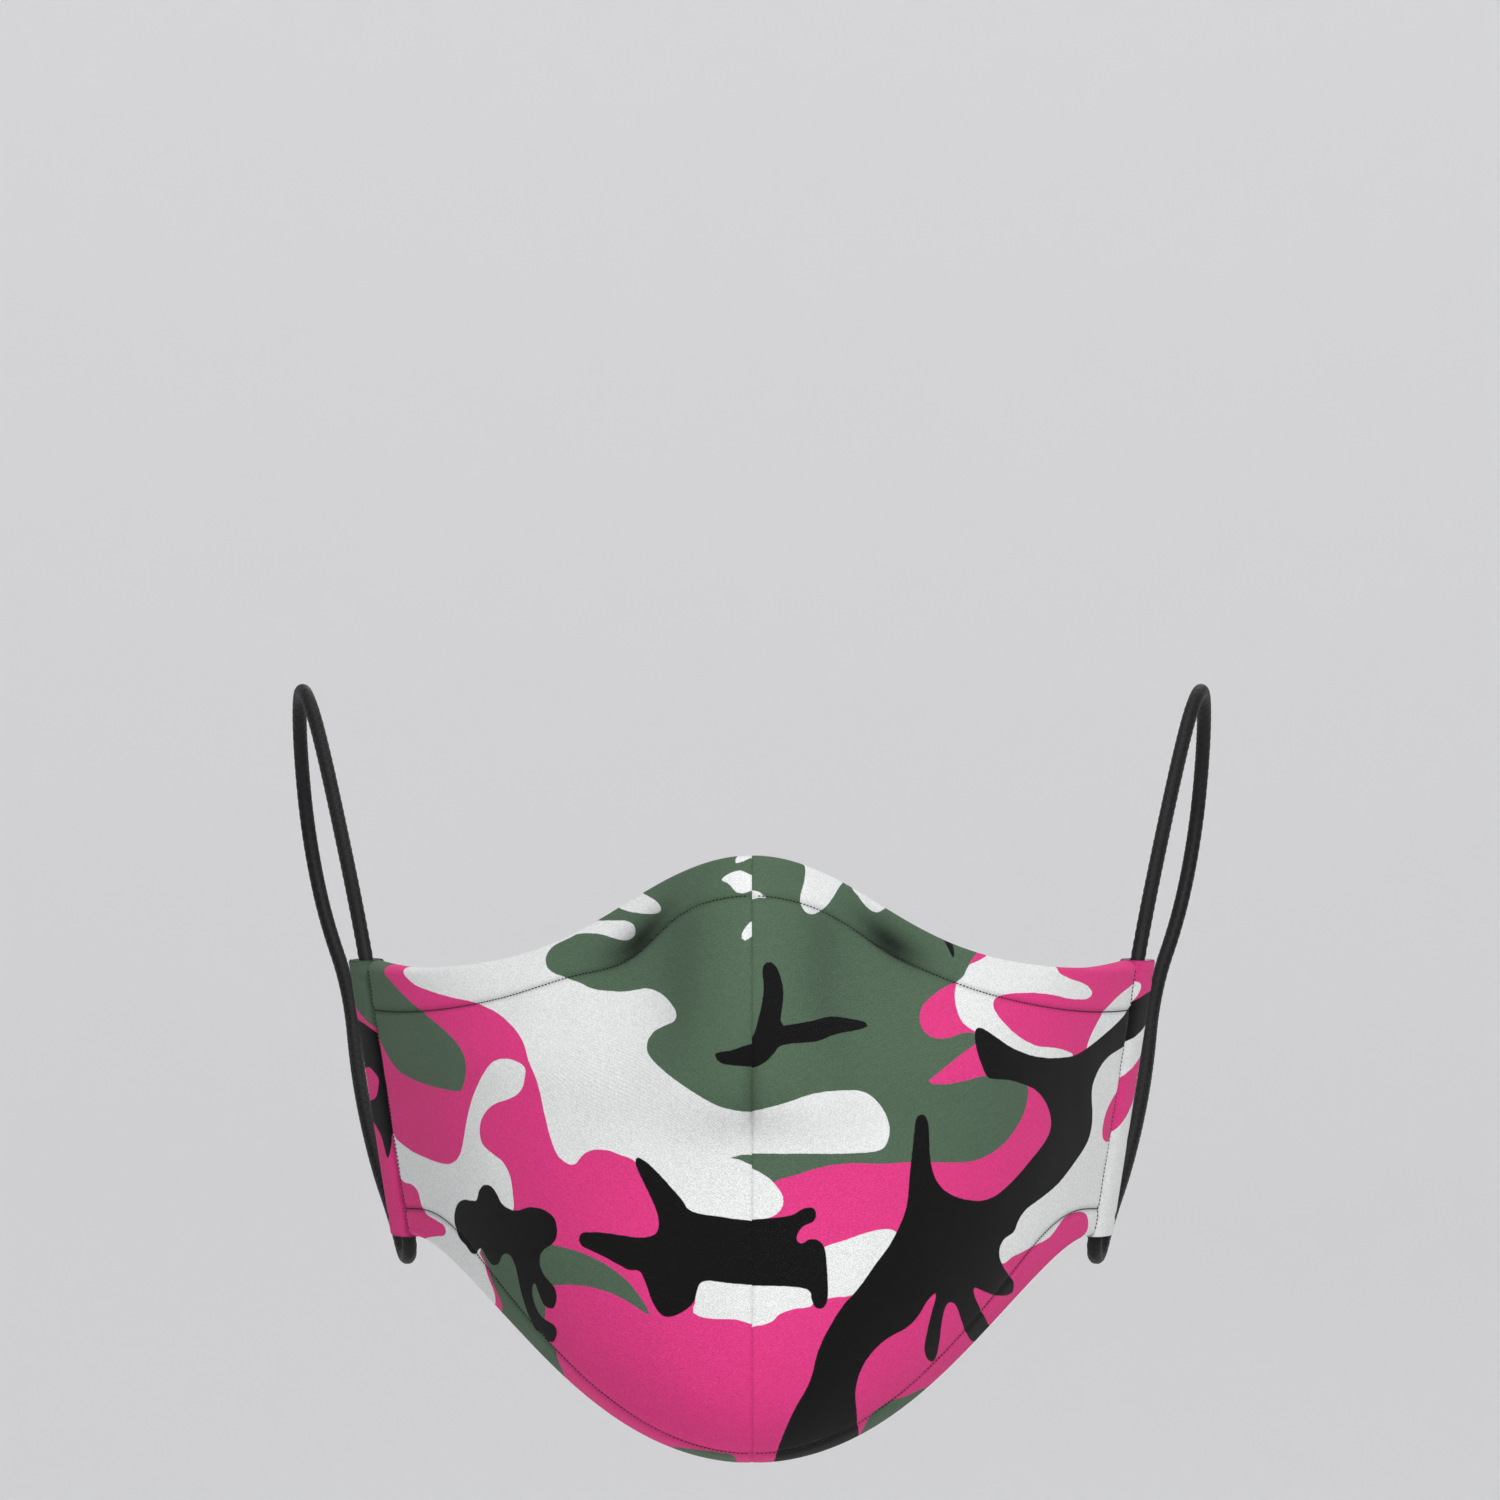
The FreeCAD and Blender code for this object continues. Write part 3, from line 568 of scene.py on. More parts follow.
KNIT_PITCH = (0.55, 0.42)        # across and along the cloth, in mm
KNIT_SHARE = 0.03                # how much the knit and the finest noise count in the surface's height
RELIEF = 0.0011                  # height of the surface's relief in metres
# painted shade: the share of the print's colour left where the painted shade is deepest
PAINTED_SHADE_FLOOR = 0.12              # the light left in the deepest hollow
INK_EDGE = 0.06                  # half the width in mm over which an ink fades out
INK_RAGGED = 0.03
PINK = linear(228, 62, 134)
GREEN = linear(84, 106, 86)
WHITE = linear(235, 237, 236)
BLACK = linear(17, 17, 18)


def cloth_grain(shader, colour, amount):
    """Slight light and dark specks in a cloth's colour, and a fine knit over faint waves in its surface."""
    speck = shader.ramp(shader.noise(3300.0, 1.0), 0.3, 0.7, 1 - amount, 1 + amount * 0.6)
    cloud = shader.ramp(shader.noise(28.0, 2.0), 0.3, 0.7, 0.975, 1.015)
    shade = shader.math("MULTIPLY", speck, cloud)
    shader.colour(shader.shaded(colour, shade))
    knit = shader.weave(shader.value("across"), shader.value("along"), *KNIT_PITCH)
    knit = shader.math("MULTIPLY", knit, KNIT_SHARE)
    fine = shader.math("ADD", knit, shader.math("MULTIPLY", shader.noise(3000.0), KNIT_SHARE))
    shader.bump(shader.math("ADD", fine, shader.noise(70.0, 1.0)), RELIEF, 0.6)


def camo_material():
    """Printed stretch knit: each layer of the print shows where its value is above nothing, and painted shade
    darkens it where the 'hollow' value is high.
    """
    shader = Shader("camo_cloth", 0.85, sheen=0.04, specular=0.12)
    colour = shader.node("ShaderNodeRGB").outputs[0]
    colour.default_value = PINK
    inks = {"white": WHITE, "green": GREEN, "white_over": WHITE, "pink_over": PINK, "black": BLACK}
    for layer in LAYERS:
        ragged = shader.ramp(shader.noise(900.0), 0.3, 0.7, -INK_RAGGED, INK_RAGGED)
        inside = shader.math("ADD", shader.value(layer), ragged)
        colour = shader.mixed(shader.ramp(inside, -INK_EDGE, INK_EDGE), colour, inks[layer])
    # painted shade: the print's colour is darkened where the 'hollow' value is high, to 0.12 of it at the
    # deepest
    hollow = shader.ramp(shader.value("hollow"), 0.0, 1.0, 1.0, PAINTED_SHADE_FLOOR)
    cloth_grain(shader, shader.shaded(colour, hollow), 0.13)
    return shader.material


def plain_cloth(name, colour, amount, roughness=0.85):
    """Unprinted cloth with a grain of that amount."""
    shader = Shader(name, roughness, sheen=0.04, specular=0.12)
    ground = shader.node("ShaderNodeRGB").outputs[0]
    ground.default_value = colour
    cloth_grain(shader, ground, amount)
    return shader.material


def woven_solid(name, colour, scale, amount, roughness, specular=0.3, metallic=0.0, stretch=None,
                depth=0.00005):
    """A material for a small or hidden part, with its grain from where the part lies."""
    shader = Shader(name, roughness, specular=specular, metallic=metallic)
    grain = shader.noise(scale, 4.0, stretch)
    shade = shader.ramp(grain, 0.3, 0.7, 1 - amount, 1 + amount)
    shader.colour(shader.shaded(colour, shade))
    shader.bump(grain, depth)
    return shader.material


def elastic_material():
    """Braided black elastic: darker between its strands as painted shade, with a faint nap."""
    shader = Shader("black_elastic", 0.6, sheen=0.03, specular=0.3)
    strand = shader.value("strand")
    # painted shade: the grooves between the strands are coloured darker
    colour = shader.mixed(shader.ramp(strand, 0.0, 1.0), linear(4, 4, 5), BLACK)
    speck = shader.ramp(shader.noise(3000.0), 0.3, 0.7, 0.8, 1.2)
    shader.colour(shader.shaded(colour, speck))
    shader.bump(shader.noise(4000.0, 3.0), 0.00008)
    return shader.material


CAMO = camo_material()
REVERSE = plain_cloth("camo_cloth_reverse", linear(226, 222, 224), 0.04)
LINING_CLOTH = plain_cloth("lining_cloth", linear(236, 236, 234), 0.03, 0.9)
ELASTIC = elastic_material()
BLACK_THREAD = woven_solid("black_thread", linear(20, 20, 21), 5000.0, 0.3, 0.6)
WHITE_THREAD = woven_solid("white_thread", linear(228, 228, 226), 5000.0, 0.08, 0.6)
WOVEN = {
    "seam_tape": woven_solid("seam_tape", linear(228, 226, 222), 2500.0, 0.08, 0.8, stretch=(1, 1, 4)),
    "coated_wire": woven_solid("coated_wire", linear(206, 208, 212), 400.0, 0.06, 0.35, 0.5, 0.7,
                               depth=0.00001),
    "nonwoven": woven_solid("nonwoven", linear(240, 240, 238), 1800.0, 0.05, 0.9, stretch=(2, 1, 1)),
    "meltblown": woven_solid("meltblown", linear(232, 234, 235), 3200.0, 0.05, 0.7),
    "carbon_cloth": woven_solid("carbon_cloth", linear(38, 38, 40), 2600.0, 0.3, 0.8),
    "label_satin": woven_solid("label_satin", linear(226, 224, 217), 3500.0, 0.03, 0.35, 0.5,
                               stretch=(1, 1, 6)),
}


# ---------------------------------------------------------------- outer panels
EDGE_ROLL = 1.5          # how far in from the top and chin edges the cloth starts to turn under
EDGE_LOW = 0.62          # height over the form where the turned edge meets the lining
TURN_INSET = 0.5         # how much further in the inner side of the cloth starts
EDGE_ROWS = np.array([0.0, 0.03, 0.12, 0.27, 0.48, 0.75, 1.1, 1.5, 2.0])
PANEL_ROWS = 150
PANEL_COLUMNS = 190      # between the finer ones at the seam and at the casing
CASING_ROW = 1.0
CHIN_ROW_FALL = 3.3      # how much nearer to the chin edge its row of stitching ends at the casing
TOP_ROW_SAG = {"left": 0.5, "right": 3.2}
NOSE_DIP = 0.6           # how far the hem band is pressed in on either side of the nose
NOSE_HOLLOW = {"left": 26.5, "right": 21.5}
GATHER_HEIGHT = 0.32     # swells beside the casing
SLACK_HEIGHT = 0.16      # swells low on the cheek
PHASE = {"left": 0.6, "right": 2.9}
ROW_GROOVE = 0.2         # how deep the stitching draws the cloth in, and over what width
ROW_WIDTH = 0.5
SEAM_GROOVE = 0.08


def column_params(s_values, rows, first, last):
    """The t of every row: close together by both edges, even between them."""
    top = [chart.t_below_top(s_values, distance) for distance in first]
    chin = [chart.t_above_chin(s_values, distance) for distance in last]
    middle = [top[-1] + (chin[0] - top[-1]) * k / rows for k in range(1, rows)]
    return np.stack(top + middle + chin, axis=1)


def cloth_places(s_values, t_values):
    """s and t grids, and each point's distances from the four borders of its half."""
    s = np.repeat(s_values[:, None], t_values.shape[1], axis=1)
    from_seam = chart.look_up(chart.from_seam, s, t_values)
    whole = chart.look_up(chart.from_seam, np.ones_like(s), t_values)
    from_top = chart.look_up(chart.from_top, s, t_values)
    from_chin = chart.look_up(chart.from_chin, s, t_values)
    return s, from_seam, whole - from_seam, from_top, from_chin


def soft_folds(from_seam, from_side, from_top, from_chin, phase):
    """Shallow swells in the stretched cloth: gathers beside the casing, and slack low on the cheek."""
    share = from_top / (from_top + from_chin)
    gathers = 0.5 + 0.5 * np.sin(2 * math.pi * (4.6 * share + 0.012 * from_side) + phase)
    gathers = GATHER_HEIGHT * gathers * np.exp(-from_side / 13)
    slack = 0.5 + 0.5 * np.sin(from_seam / 7.5 + from_top / 11 + phase)
    slack = SLACK_HEIGHT * slack * smoothstep(from_seam, 12, 30)
    calm = smoothstep(np.minimum(from_top, from_chin), 2, 12) * smoothstep(from_side, 0.5, 3)
    return (gathers + slack) * calm


def chin_row_place(from_side):
    """How far above the chin edge its row of stitching runs: nearer to the edge beside the casing."""
    return HEM_WIDTH - CHIN_ROW_FALL * (1 - smoothstep(from_side, 1, 30))


def top_row_place(side, from_seam):
    """How far below the top edge its row of stitching runs: it sags beside the nose, more on the right."""
    return HEM_WIDTH + TOP_ROW_SAG[side] * fade(from_seam - 24.0, 8.5)


def from_rows(side, from_seam, from_side, from_top, from_chin):
    """How far inside the nearer row of hem stitching a point lies, negative towards the edge."""
    return np.minimum(from_top - top_row_place(side, from_seam), from_chin - chin_row_place(from_side))


def face_height(side, from_seam, from_side, from_top, from_chin):
    """Height of the printed face over the form."""
    edge = np.minimum(from_top, from_chin)
    row = from_rows(side, from_seam, from_side, from_top, from_chin)
    height = OUTER_TOP + soft_folds(from_seam, from_side, from_top, from_chin, PHASE[side])
    height = height - NOSE_DIP * nose_hollow(side, from_seam, from_top)
    height = height - ROW_GROOVE * fade(row, ROW_WIDTH) + 0.08 * fade(row + 1.6, 1.2)
    height = height - 0.15 * fade(from_side - CASING_ROW, 0.4) - 0.42 * fade(from_side, 0.45)
    height = height - SEAM_GROOVE * fade(from_seam, 0.25) - 0.06 * fade(from_seam, 1.6)
    return EDGE_LOW + (height - EDGE_LOW) * rounded(edge, EDGE_ROLL)


def nose_hollow(side, from_seam, from_top):
    """The hollow in the hem band on either side of the nose, 1 at its deepest."""
    below = top_row_place(side, from_seam) - 1.9
    return fade(from_seam - NOSE_HOLLOW[side], 6.0) * fade(from_top - below, 3.0)


def painted_shade_share(side, from_seam, from_side, from_top, from_chin):
    """How much painted shade darkens a point of the print, from 0 to 1: in the hollows beside the nose, on
    the nose's flank, under its tip, in a crease down the seam below it, along the rows of stitching, by the
    casing and by the seam.
    """
    row = from_rows(side, from_seam, from_side, from_top, from_chin)
    beside_nose = nose_hollow(side, from_seam, from_top) * (1 - 0.5 * smoothstep(row, -0.2, 1.4))
    flank = 0.2 * fade(from_seam - 12.5, 4.5)
    flank = flank * smoothstep(from_top, 4, 12) * (1 - smoothstep(from_top, 24, 36))
    under_nose = 0.22 * fade(from_seam, 8.0) * fade(from_top - 43.0, 3.2)
    crease = 0.3 * fade(from_seam, 1.3) * fade(from_top - 38.0, 6.0)
    along_rows = 0.3 * fade(row, ROW_WIDTH)
    by_casing = 0.3 * fade(from_side, 0.8)
    by_seam = 0.12 * fade(from_seam, 0.35)
    return np.clip(beside_nose + flank + under_nose + crease + along_rows + by_casing + by_seam, 0, 1)


def print_depth(points):
    return -points[..., 2]


def outer_panel(side):
    """One printed half, its edges rolled under to the lining."""
    by_seam = chart.s_from_seam(np.array([0.1, 0.22, 0.36, 0.55, 0.85, 1.3]))
    between = np.linspace(chart.s_from_seam(1.8), chart.s_from_side(2.4), PANEL_COLUMNS)
    by_casing = chart.s_from_side(np.array([2.0, 1.6, 1.3, 1.0, 0.7, 0.45, 0.22]))
    columns = np.concatenate([[0.0], by_seam, between, by_casing, [1.0]])
    t_out = column_params(columns, PANEL_ROWS, EDGE_ROWS, EDGE_ROWS[::-1])
    s, from_seam, from_side, from_top, from_chin = cloth_places(columns, t_out)
    height = face_height(side, from_seam, from_side, from_top, from_chin)
    outer = form(s, t_out) + normals(s, t_out) * height[..., None]
    inset = TURN_INSET + EDGE_ROWS * 0.75
    t_in = column_params(columns, PANEL_ROWS, inset, inset[::-1])
    s, _, side_in, top_in, chin_in = cloth_places(columns, t_in)
    roll = rounded(np.minimum(top_in, chin_in) - TURN_INSET, EDGE_ROLL - TURN_INSET)
    swell = soft_folds(from_seam, side_in, top_in, chin_in, PHASE[side])
    swell = swell - NOSE_DIP * nose_hollow(side, from_seam, top_in)
    low = EDGE_LOW + (OUTER_TOP - OUTER_THICK + swell - EDGE_LOW) * roll
    inner = form(s, t_in) + normals(s, t_in) * low[..., None]
    panel = Mesh()
    fields = print_fields(side, from_seam, print_depth(outer))
    # painted shade: the 'hollow' value darkens the print's colour in the material
    fields["hollow"] = painted_shade_share(side, from_seam, from_side, from_top, from_chin)
    panel.add_sheet(outer, inner, across=from_seam, along=from_top, **fields)
    piece = panel.build("outer_cloth_" + side, "mask", [CAMO, REVERSE], side == "right")
    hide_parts("outer_panel_" + side)
    return piece


# ---------------------------------------------------------------- lining
POCKET_HEM = 4.0
POCKET_HEM_THICK = 0.42
LINING_WAVE = 0.3        # half the height of the lining's loose waves
LINING_ROWS = 90
LINING_COLUMNS = 90      # between the finer ones at the seam and at the pocket


def lining(side):
    """One half of the white lining, with a doubled hem at the open edge of the filter pocket."""
    by_seam = chart.s_from_seam(np.array([0.15, 0.35, 0.6, 1.0]))
    between = np.linspace(chart.s_from_seam(1.6), chart.s_from_side(LINING_SETBACK + 5), LINING_COLUMNS)
    by_pocket = chart.s_from_side(LINING_SETBACK + np.array([4.5, 4.1, 3.7, 3, 2, 1, 0.5, 0.2, 0.05, 0.0]))
    columns = np.concatenate([[0.0], by_seam, between, by_pocket])
    edge_rows = np.array([0.0, 0.1, 0.3, 0.6, 1.2])
    t_values = column_params(columns, LINING_ROWS, edge_rows, edge_rows[::-1])
    s, from_seam, from_side, from_top, from_chin = cloth_places(columns, t_values)
    from_open = np.maximum(from_side - LINING_SETBACK, 0)
    edge = np.minimum(from_top, from_chin)
    hem = POCKET_HEM_THICK * (1 - smoothstep(from_open, POCKET_HEM - 0.3, POCKET_HEM + 0.4))
    top = LINING_THICK + hem
    row = from_rows(side, from_seam, from_side, from_top, from_chin)
    bottom = 0.1 * fade(from_seam, 0.4) + 0.12 * fade(row, ROW_WIDTH)
    bottom = bottom + 0.1 * fade(from_open - POCKET_HEM, 0.4)
    waves = np.sin(from_seam / 4.5 + from_top / 9 + PHASE[side]) * np.sin(from_top / 13 - from_seam / 17)
    calm = smoothstep(from_seam, 14, 26) * smoothstep(from_open, 5, 12)
    calm = calm * smoothstep(from_top, 13, 19) * smoothstep(from_chin, 21, 28)
    middle = (top + bottom) / 2 - LINING_WAVE * (1 + waves) * calm
    round_edge = 0.35 + 0.65 * rounded(edge, 0.4)
    half = np.maximum((top - bottom) / 2 * rounded(from_open, 0.45) * round_edge, 0.02)
    out = normals(s, t_values)
    base = form(s, t_values)
    sheet = Mesh()
    sheet.add_sheet(base + out * (middle + half)[..., None], base + out * (middle - half)[..., None],
                    inner_place=0, across=from_seam, along=from_top)
    piece = sheet.build("lining_cloth_" + side, "mask", [LINING_CLOTH], side == "right")
    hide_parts("lining_" + side)
    return piece


# ---------------------------------------------------------------- side casings
CASING_WIDTH = 10.0
CASING_THICK = 4.4
CASING_WALL = 0.5
CASING_GAP = 0.08
CASING_PROUD = 0.3
CASING_GIRTH = 28.0      # way round the casing; its print runs over the outside and comes back on the inside
CASING_SQUARENESS = 0.72   # 1 is an oval section, less is squarer
PUCKER_HEIGHT = 0.10
PUCKERS = 17
MOUTH_DRAW_IN = 0.14
MOUTH_ROLL = 0.22
AROUND_CASING = 96
DOWN_CASING = 96


def casing_middle(share):
    """The middle of the casing's section, from the top mouth at 0 to the bottom mouth at 1."""
    along = SIDE_TOP + (SIDE_BOTTOM - SIDE_TOP) * np.asarray(share)[..., None]
    return (along + SIDE_WAY * (CASING_GAP + CASING_WIDTH / 2)
            + SIDE_OUT * (OUTER_TOP + CASING_PROUD - CASING_THICK / 2))


def casing_section(angle, shrink):
    """A soft flattened round, as (way, out) from its middle: from its far edge, then over the outside."""
    half_way, half_out = CASING_WIDTH / 2 - shrink, CASING_THICK / 2 - shrink
    way = half_way * np.sign(np.cos(angle)) * np.abs(np.cos(angle)) ** CASING_SQUARENESS
    out = half_out * np.sign(np.sin(angle)) * np.abs(np.sin(angle)) ** CASING_SQUARENESS
    return way, out


def casing_faces(around, rows):
    """The faces of a casing's outer skin, and of the rims that join it to its channel at both mouths."""
    size = around * (rows + 1)
    start = np.arange(around)[:, None] * (rows + 1)
    following = np.roll(start, -1, 0)
    down = np.arange(rows)
    quads = np.stack([start + down, start + down + 1, following + down + 1, following + down], axis=-1)
    top_rim = np.hstack([following, start, start + size, following + size])
    bottom_rim = np.hstack([start, following, following + size, start + size]) + rows
    return quads.reshape(-1, 4), np.concatenate([top_rim, bottom_rim])


def side_casing(side):
    """The printed cloth folded round the ear loop: a flattened tube, open at both mouths."""
    angle = np.linspace(math.pi, -math.pi, AROUND_CASING + 1)[:-1]
    share = (1 - np.cos(np.linspace(0, math.pi, DOWN_CASING + 1))) / 2
    share = 0.7 * np.linspace(0, 1, DOWN_CASING + 1) + 0.3 * share
    angles, shares = np.meshgrid(angle, share, indexing="ij")
    mouth = np.minimum(shares, 1 - shares) * SIDE_HEIGHT
    pucker = PUCKER_HEIGHT * np.sin(2 * math.pi * shares * PUCKERS + PHASE[side])
    pucker = pucker * fade(angles - math.pi * 0.8, 0.5)
    draw_in = MOUTH_DRAW_IN * fade(mouth - 3.0, 0.5)
    shells = []
    for wall, lip in ((0.0, 1.0), (CASING_WALL, -1.0)):
        turn = MOUTH_ROLL * lip * (1 - rounded(mouth, 0.3))
        way, out = casing_section(angles, wall + turn + draw_in * (1 if wall == 0 else 0.6))
        out = out + pucker * np.sign(out) * (1 if wall == 0 else 0)
        shells.append(casing_middle(shares) + SIDE_WAY * way[..., None] + SIDE_OUT * out[..., None])
    skin, channel = shells
    steps = np.linalg.norm(np.diff(skin, axis=0, append=skin[:1]), axis=-1)
    over = np.concatenate([np.zeros((1, DOWN_CASING + 1)), np.cumsum(steps, axis=0)[:-1]])
    panel_width = chart.look_up(chart.from_seam, np.ones_like(shares), shares)
    from_seam = panel_width + np.where(over > CASING_GIRTH / 2, CASING_GIRTH - over, over)
    fields = print_fields(side, from_seam, print_depth(skin))
    # painted shade: the casing's print is darker along its edge next to the panel
    fields["hollow"] = 0.5 * fade(np.minimum(over, over[-1:] - over), 1.6)
    fields["across"] = over
    fields["along"] = shares * SIDE_HEIGHT
    both = {key: np.concatenate([np.ravel(value)] * 2) for key, value in fields.items()}
    quads, rims = casing_faces(AROUND_CASING, DOWN_CASING)
    tube = Mesh()
    tube.add(np.concatenate([skin.reshape(-1, 3), channel.reshape(-1, 3)]), quads, **both)
    tube.faces += [rims, quads[:, ::-1] + over.size]
    tube.places += [np.full(len(rims), 0), np.full(len(quads), 1)]
    piece = tube.build("casing_cloth_" + side, "mask", [CAMO, REVERSE], side == "right")
    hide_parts("side_casing_" + side)
    return piece


# ---------------------------------------------------------------- stitching
THREAD_RADIUS = 0.09
ON_FACE = 0.05           # height of a stitch's middle over the printed face
IN_LINING = 0.06         # and over the lining's inner side
STITCH_LENGTH = 0.46
STITCH_PITCH = 0.64


def stitches(mesh, line, out):
    """Short stitches along a line of points, each one a bowed grain of thread that dips at its ends."""
    along = np.concatenate([[0], np.cumsum(np.linalg.norm(np.diff(line, axis=0), axis=1))])
    count = int(along[-1] // STITCH_PITCH)
    offsets = np.linspace(-0.5, 0.5, 7)
    girth = THREAD_RADIUS * np.sqrt(np.clip(1.06 - (2 * offsets) ** 4, 0.06, 1))
    lift = 0.08 * (1 - (2 * offsets) ** 2) - 0.05
    angle = np.linspace(0, 2 * math.pi, 7)[:-1]
    faces = tube_quads(len(offsets), len(angle))[:, ::-1]
    for k in range(count):
        centre = (k + 0.5) * along[-1] / count
        places = centre + offsets * STITCH_LENGTH
        core = np.stack([np.interp(places, along, line[:, axis]) for axis in range(3)], axis=1)
        up = np.array([np.interp(centre, along, out[:, axis]) for axis in range(3)])
        way = core[-1] - core[0]
        way = way / np.linalg.norm(way)
        across = np.cross(way, up)
        core = core + up * lift[:, None]
        rings = (core[:, None] + np.cos(angle)[None, :, None] * across * girth[:, None, None]
                 + np.sin(angle)[None, :, None] * up * girth[:, None, None])
        mesh.add(rings, faces)


def stitch_line(s, t, height):
    """A line of points at a height over the form, with the outward direction at each."""
    out = normals(s, t)
    return form(s, t) + out * np.reshape(height, (-1, 1)), out


def row_params(s, along, place):
    """The t of a row at those places, one for each s, in distances along the cloth from one edge."""
    s_grid, t_grid = np.meshgrid(s, chart.t, indexing="ij")
    found = []
    for lengths, target in zip(chart.look_up(along, s_grid, t_grid), place):
        found.append(np.interp(target, lengths, chart.t))
    return np.array(found)


def top_row_param(side, s):
    """The t of the top row of stitching, for each s."""
    _, from_seam, _, _, _ = cloth_places(s, chart.t_below_top(s, HEM_WIDTH)[:, None])
    return row_params(s, chart.from_top, top_row_place(side, from_seam[:, 0]))


def chin_row_param(side, s):
    """The t of the chin row of stitching, for each s."""
    _, _, from_side, _, _ = cloth_places(s, chart.t_above_chin(s, HEM_WIDTH)[:, None])
    return row_params(s, -chart.from_chin, -chin_row_place(from_side[:, 0]))


def hem_row(name, node, edge_param):
    """The row of stitching along the top or chin edge, on the face and on the lining."""
    outside = np.linspace(chart.s_from_seam(0.6), chart.s_from_side(0.7), 300)
    inside = np.linspace(chart.s_from_seam(0.6), chart.s_from_side(LINING_SETBACK + 0.4), 300)
    row = Mesh()
    for side in ("left", "right"):
        for s, on_face in ((outside, True), (inside, False)):
            t = edge_param(side, s)
            if on_face:
                _, from_seam, from_side, from_top, from_chin = cloth_places(s, t[:, None])
                height = face_height(side, from_seam, from_side, from_top, from_chin)[:, 0] + ON_FACE
            else:
                height = np.full(len(s), IN_LINING)
            line, out = stitch_line(s, t, height)
            if side == "right":
                line, out = line * (-1, 1, 1), out * (-1, 1, 1)
            stitches(row, line, out if on_face else -out)
    piece = row.build(name, "mask", [BLACK_THREAD])
    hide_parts(node)
    return piece


def casing_row(side):
    """The row of stitching beside a casing, on the face."""
    t = np.linspace(0.03, 0.97, 200)
    s = chart.s_beside(t, CASING_ROW)
    _, from_seam, from_side, from_top, from_chin = cloth_places(s, t[:, None])
    height = face_height(side, from_seam, from_side, from_top, from_chin)[:, 0] + ON_FACE
    line, out = stitch_line(s, t, height)
    row = Mesh()
    stitches(row, line, out)
    piece = row.build("casing_row_" + side, "mask", [BLACK_THREAD], side == "right")
    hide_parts("casing_stitching_" + side)
    return piece


def pocket_row(side):
    """The row of stitching in the hem of the filter pocket's opening, on the lining."""
    t = np.linspace(0.11, 0.89, 200)
    line, out = stitch_line(chart.s_beside(t, LINING_SETBACK + POCKET_HEM), t, np.full(len(t), 0.05))
    row = Mesh()
    stitches(row, line, -out)
    piece = row.build("pocket_row_" + side, "mask", [WHITE_THREAD], side == "right")
    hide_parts("pocket_stitching_" + side)
    return piece


# ---------------------------------------------------------------- ear loops
CORD_D = 2.4
STRAND_PITCH = 3.4       # length of one turn of a strand round the cord
STRAND_DEPTH = 0.13
CORD_RINGS = 820
CORD_SIDES = 20
# The free stretch of the left ear loop in metres: out of the top mouth, over and behind the ear, and back in
ROUTE = [(0.0612, 0.0576, -0.0193), (0.0627, 0.0596, -0.0106), (0.0705, 0.0888, 0.0201),
         (0.0735, 0.0978, 0.0276), (0.0747, 0.1068, 0.0256), (0.0747, 0.1128, 0.0161),
         (0.0735, 0.1143, 0.0031), (0.0707, 0.1113, -0.0104), (0.0662, 0.1048, -0.0224),
         (0.0643, 0.0903, -0.0366), (0.0608, 0.0756, -0.0495), (0.0569, 0.0615, -0.0586),
         (0.0552, 0.0545, -0.0645), (0.0541, 0.0478, -0.0623), (0.0550, 0.0489, -0.0571)]


def route_line(mirror):
    """The smooth line of the loop, in mm, read from a curve through space with no thickness."""
    curve = bpy.data.curves.new("loop_line", "CURVE")
    curve.dimensions = "3D"
    curve.resolution_u = 24
    spline = curve.splines.new("NURBS")
    spline.points.add(len(ROUTE) - 1)
    for point, (x, y, z) in zip(spline.points, ROUTE):
        point.co = (x * mirror, y, z, 1)
    spline.order_u = 3
    spline.use_endpoint_u = True
    carrier = bpy.data.objects.new("loop_line", curve)
    mesh = bpy.data.meshes.new_from_object(carrier)
    line = np.array([vertex.co for vertex in mesh.vertices], float) / MM
    bpy.data.objects.remove(carrier)
    bpy.data.curves.remove(curve)
    bpy.data.meshes.remove(mesh)
    return line


def ear_loop(side):
    """A round braided elastic: strands that cross in both directions round the cord."""
    line = route_line(1 if side == "left" else -1)
    along = np.concatenate([[0], np.cumsum(np.linalg.norm(np.diff(line, axis=0), axis=1))])
    places = np.linspace(0, along[-1], CORD_RINGS)
    core = np.stack([np.interp(places, along, line[:, axis]) for axis in range(3)], axis=1)
    for _ in range(12):
        core[1:-1] = (core[:-2] + 2 * core[1:-1] + core[2:]) / 4
    way = unit(np.gradient(core, axis=0))
    level = [np.array([1.0, 0.0, 0.0])]
    for direction in way:
        flat = level[-1] - direction * np.dot(level[-1], direction)
        level.append(flat / np.linalg.norm(flat))
    level = np.array(level[1:])
    upright = np.cross(way, level)
    angle = np.linspace(0, 2 * math.pi, CORD_SIDES + 1)[:-1]
    turn = 2 * math.pi * places[:, None] / STRAND_PITCH
    one = np.abs(np.sin(2.0 * angle[None] + turn))
    two = np.abs(np.sin(2.0 * angle[None] - turn))
    strand = np.maximum(one, two) ** 1.5
    girth = CORD_D / 2 - STRAND_DEPTH * (1 - strand)
    rings = (core[:, None] + level[:, None] * (np.cos(angle)[None] * girth)[..., None]
             + upright[:, None] * (np.sin(angle)[None] * girth)[..., None])
    cord = Mesh()
    cord.add(rings, tube_quads(CORD_RINGS, CORD_SIDES), strand=strand)
    piece = cord.build("elastic_" + side, side + "_ear_loop", [ELASTIC])
    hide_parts("ear_loop_" + side)
    return piece


for side in ("left", "right"):
    outer_panel(side)
    lining(side)
    side_casing(side)
    casing_row(side)
    pocket_row(side)
    ear_loop(side)
hem_row("top_hem_row", "top_hem_stitching", top_row_param)
hem_row("chin_hem_row", "chin_hem_stitching", chin_row_param)

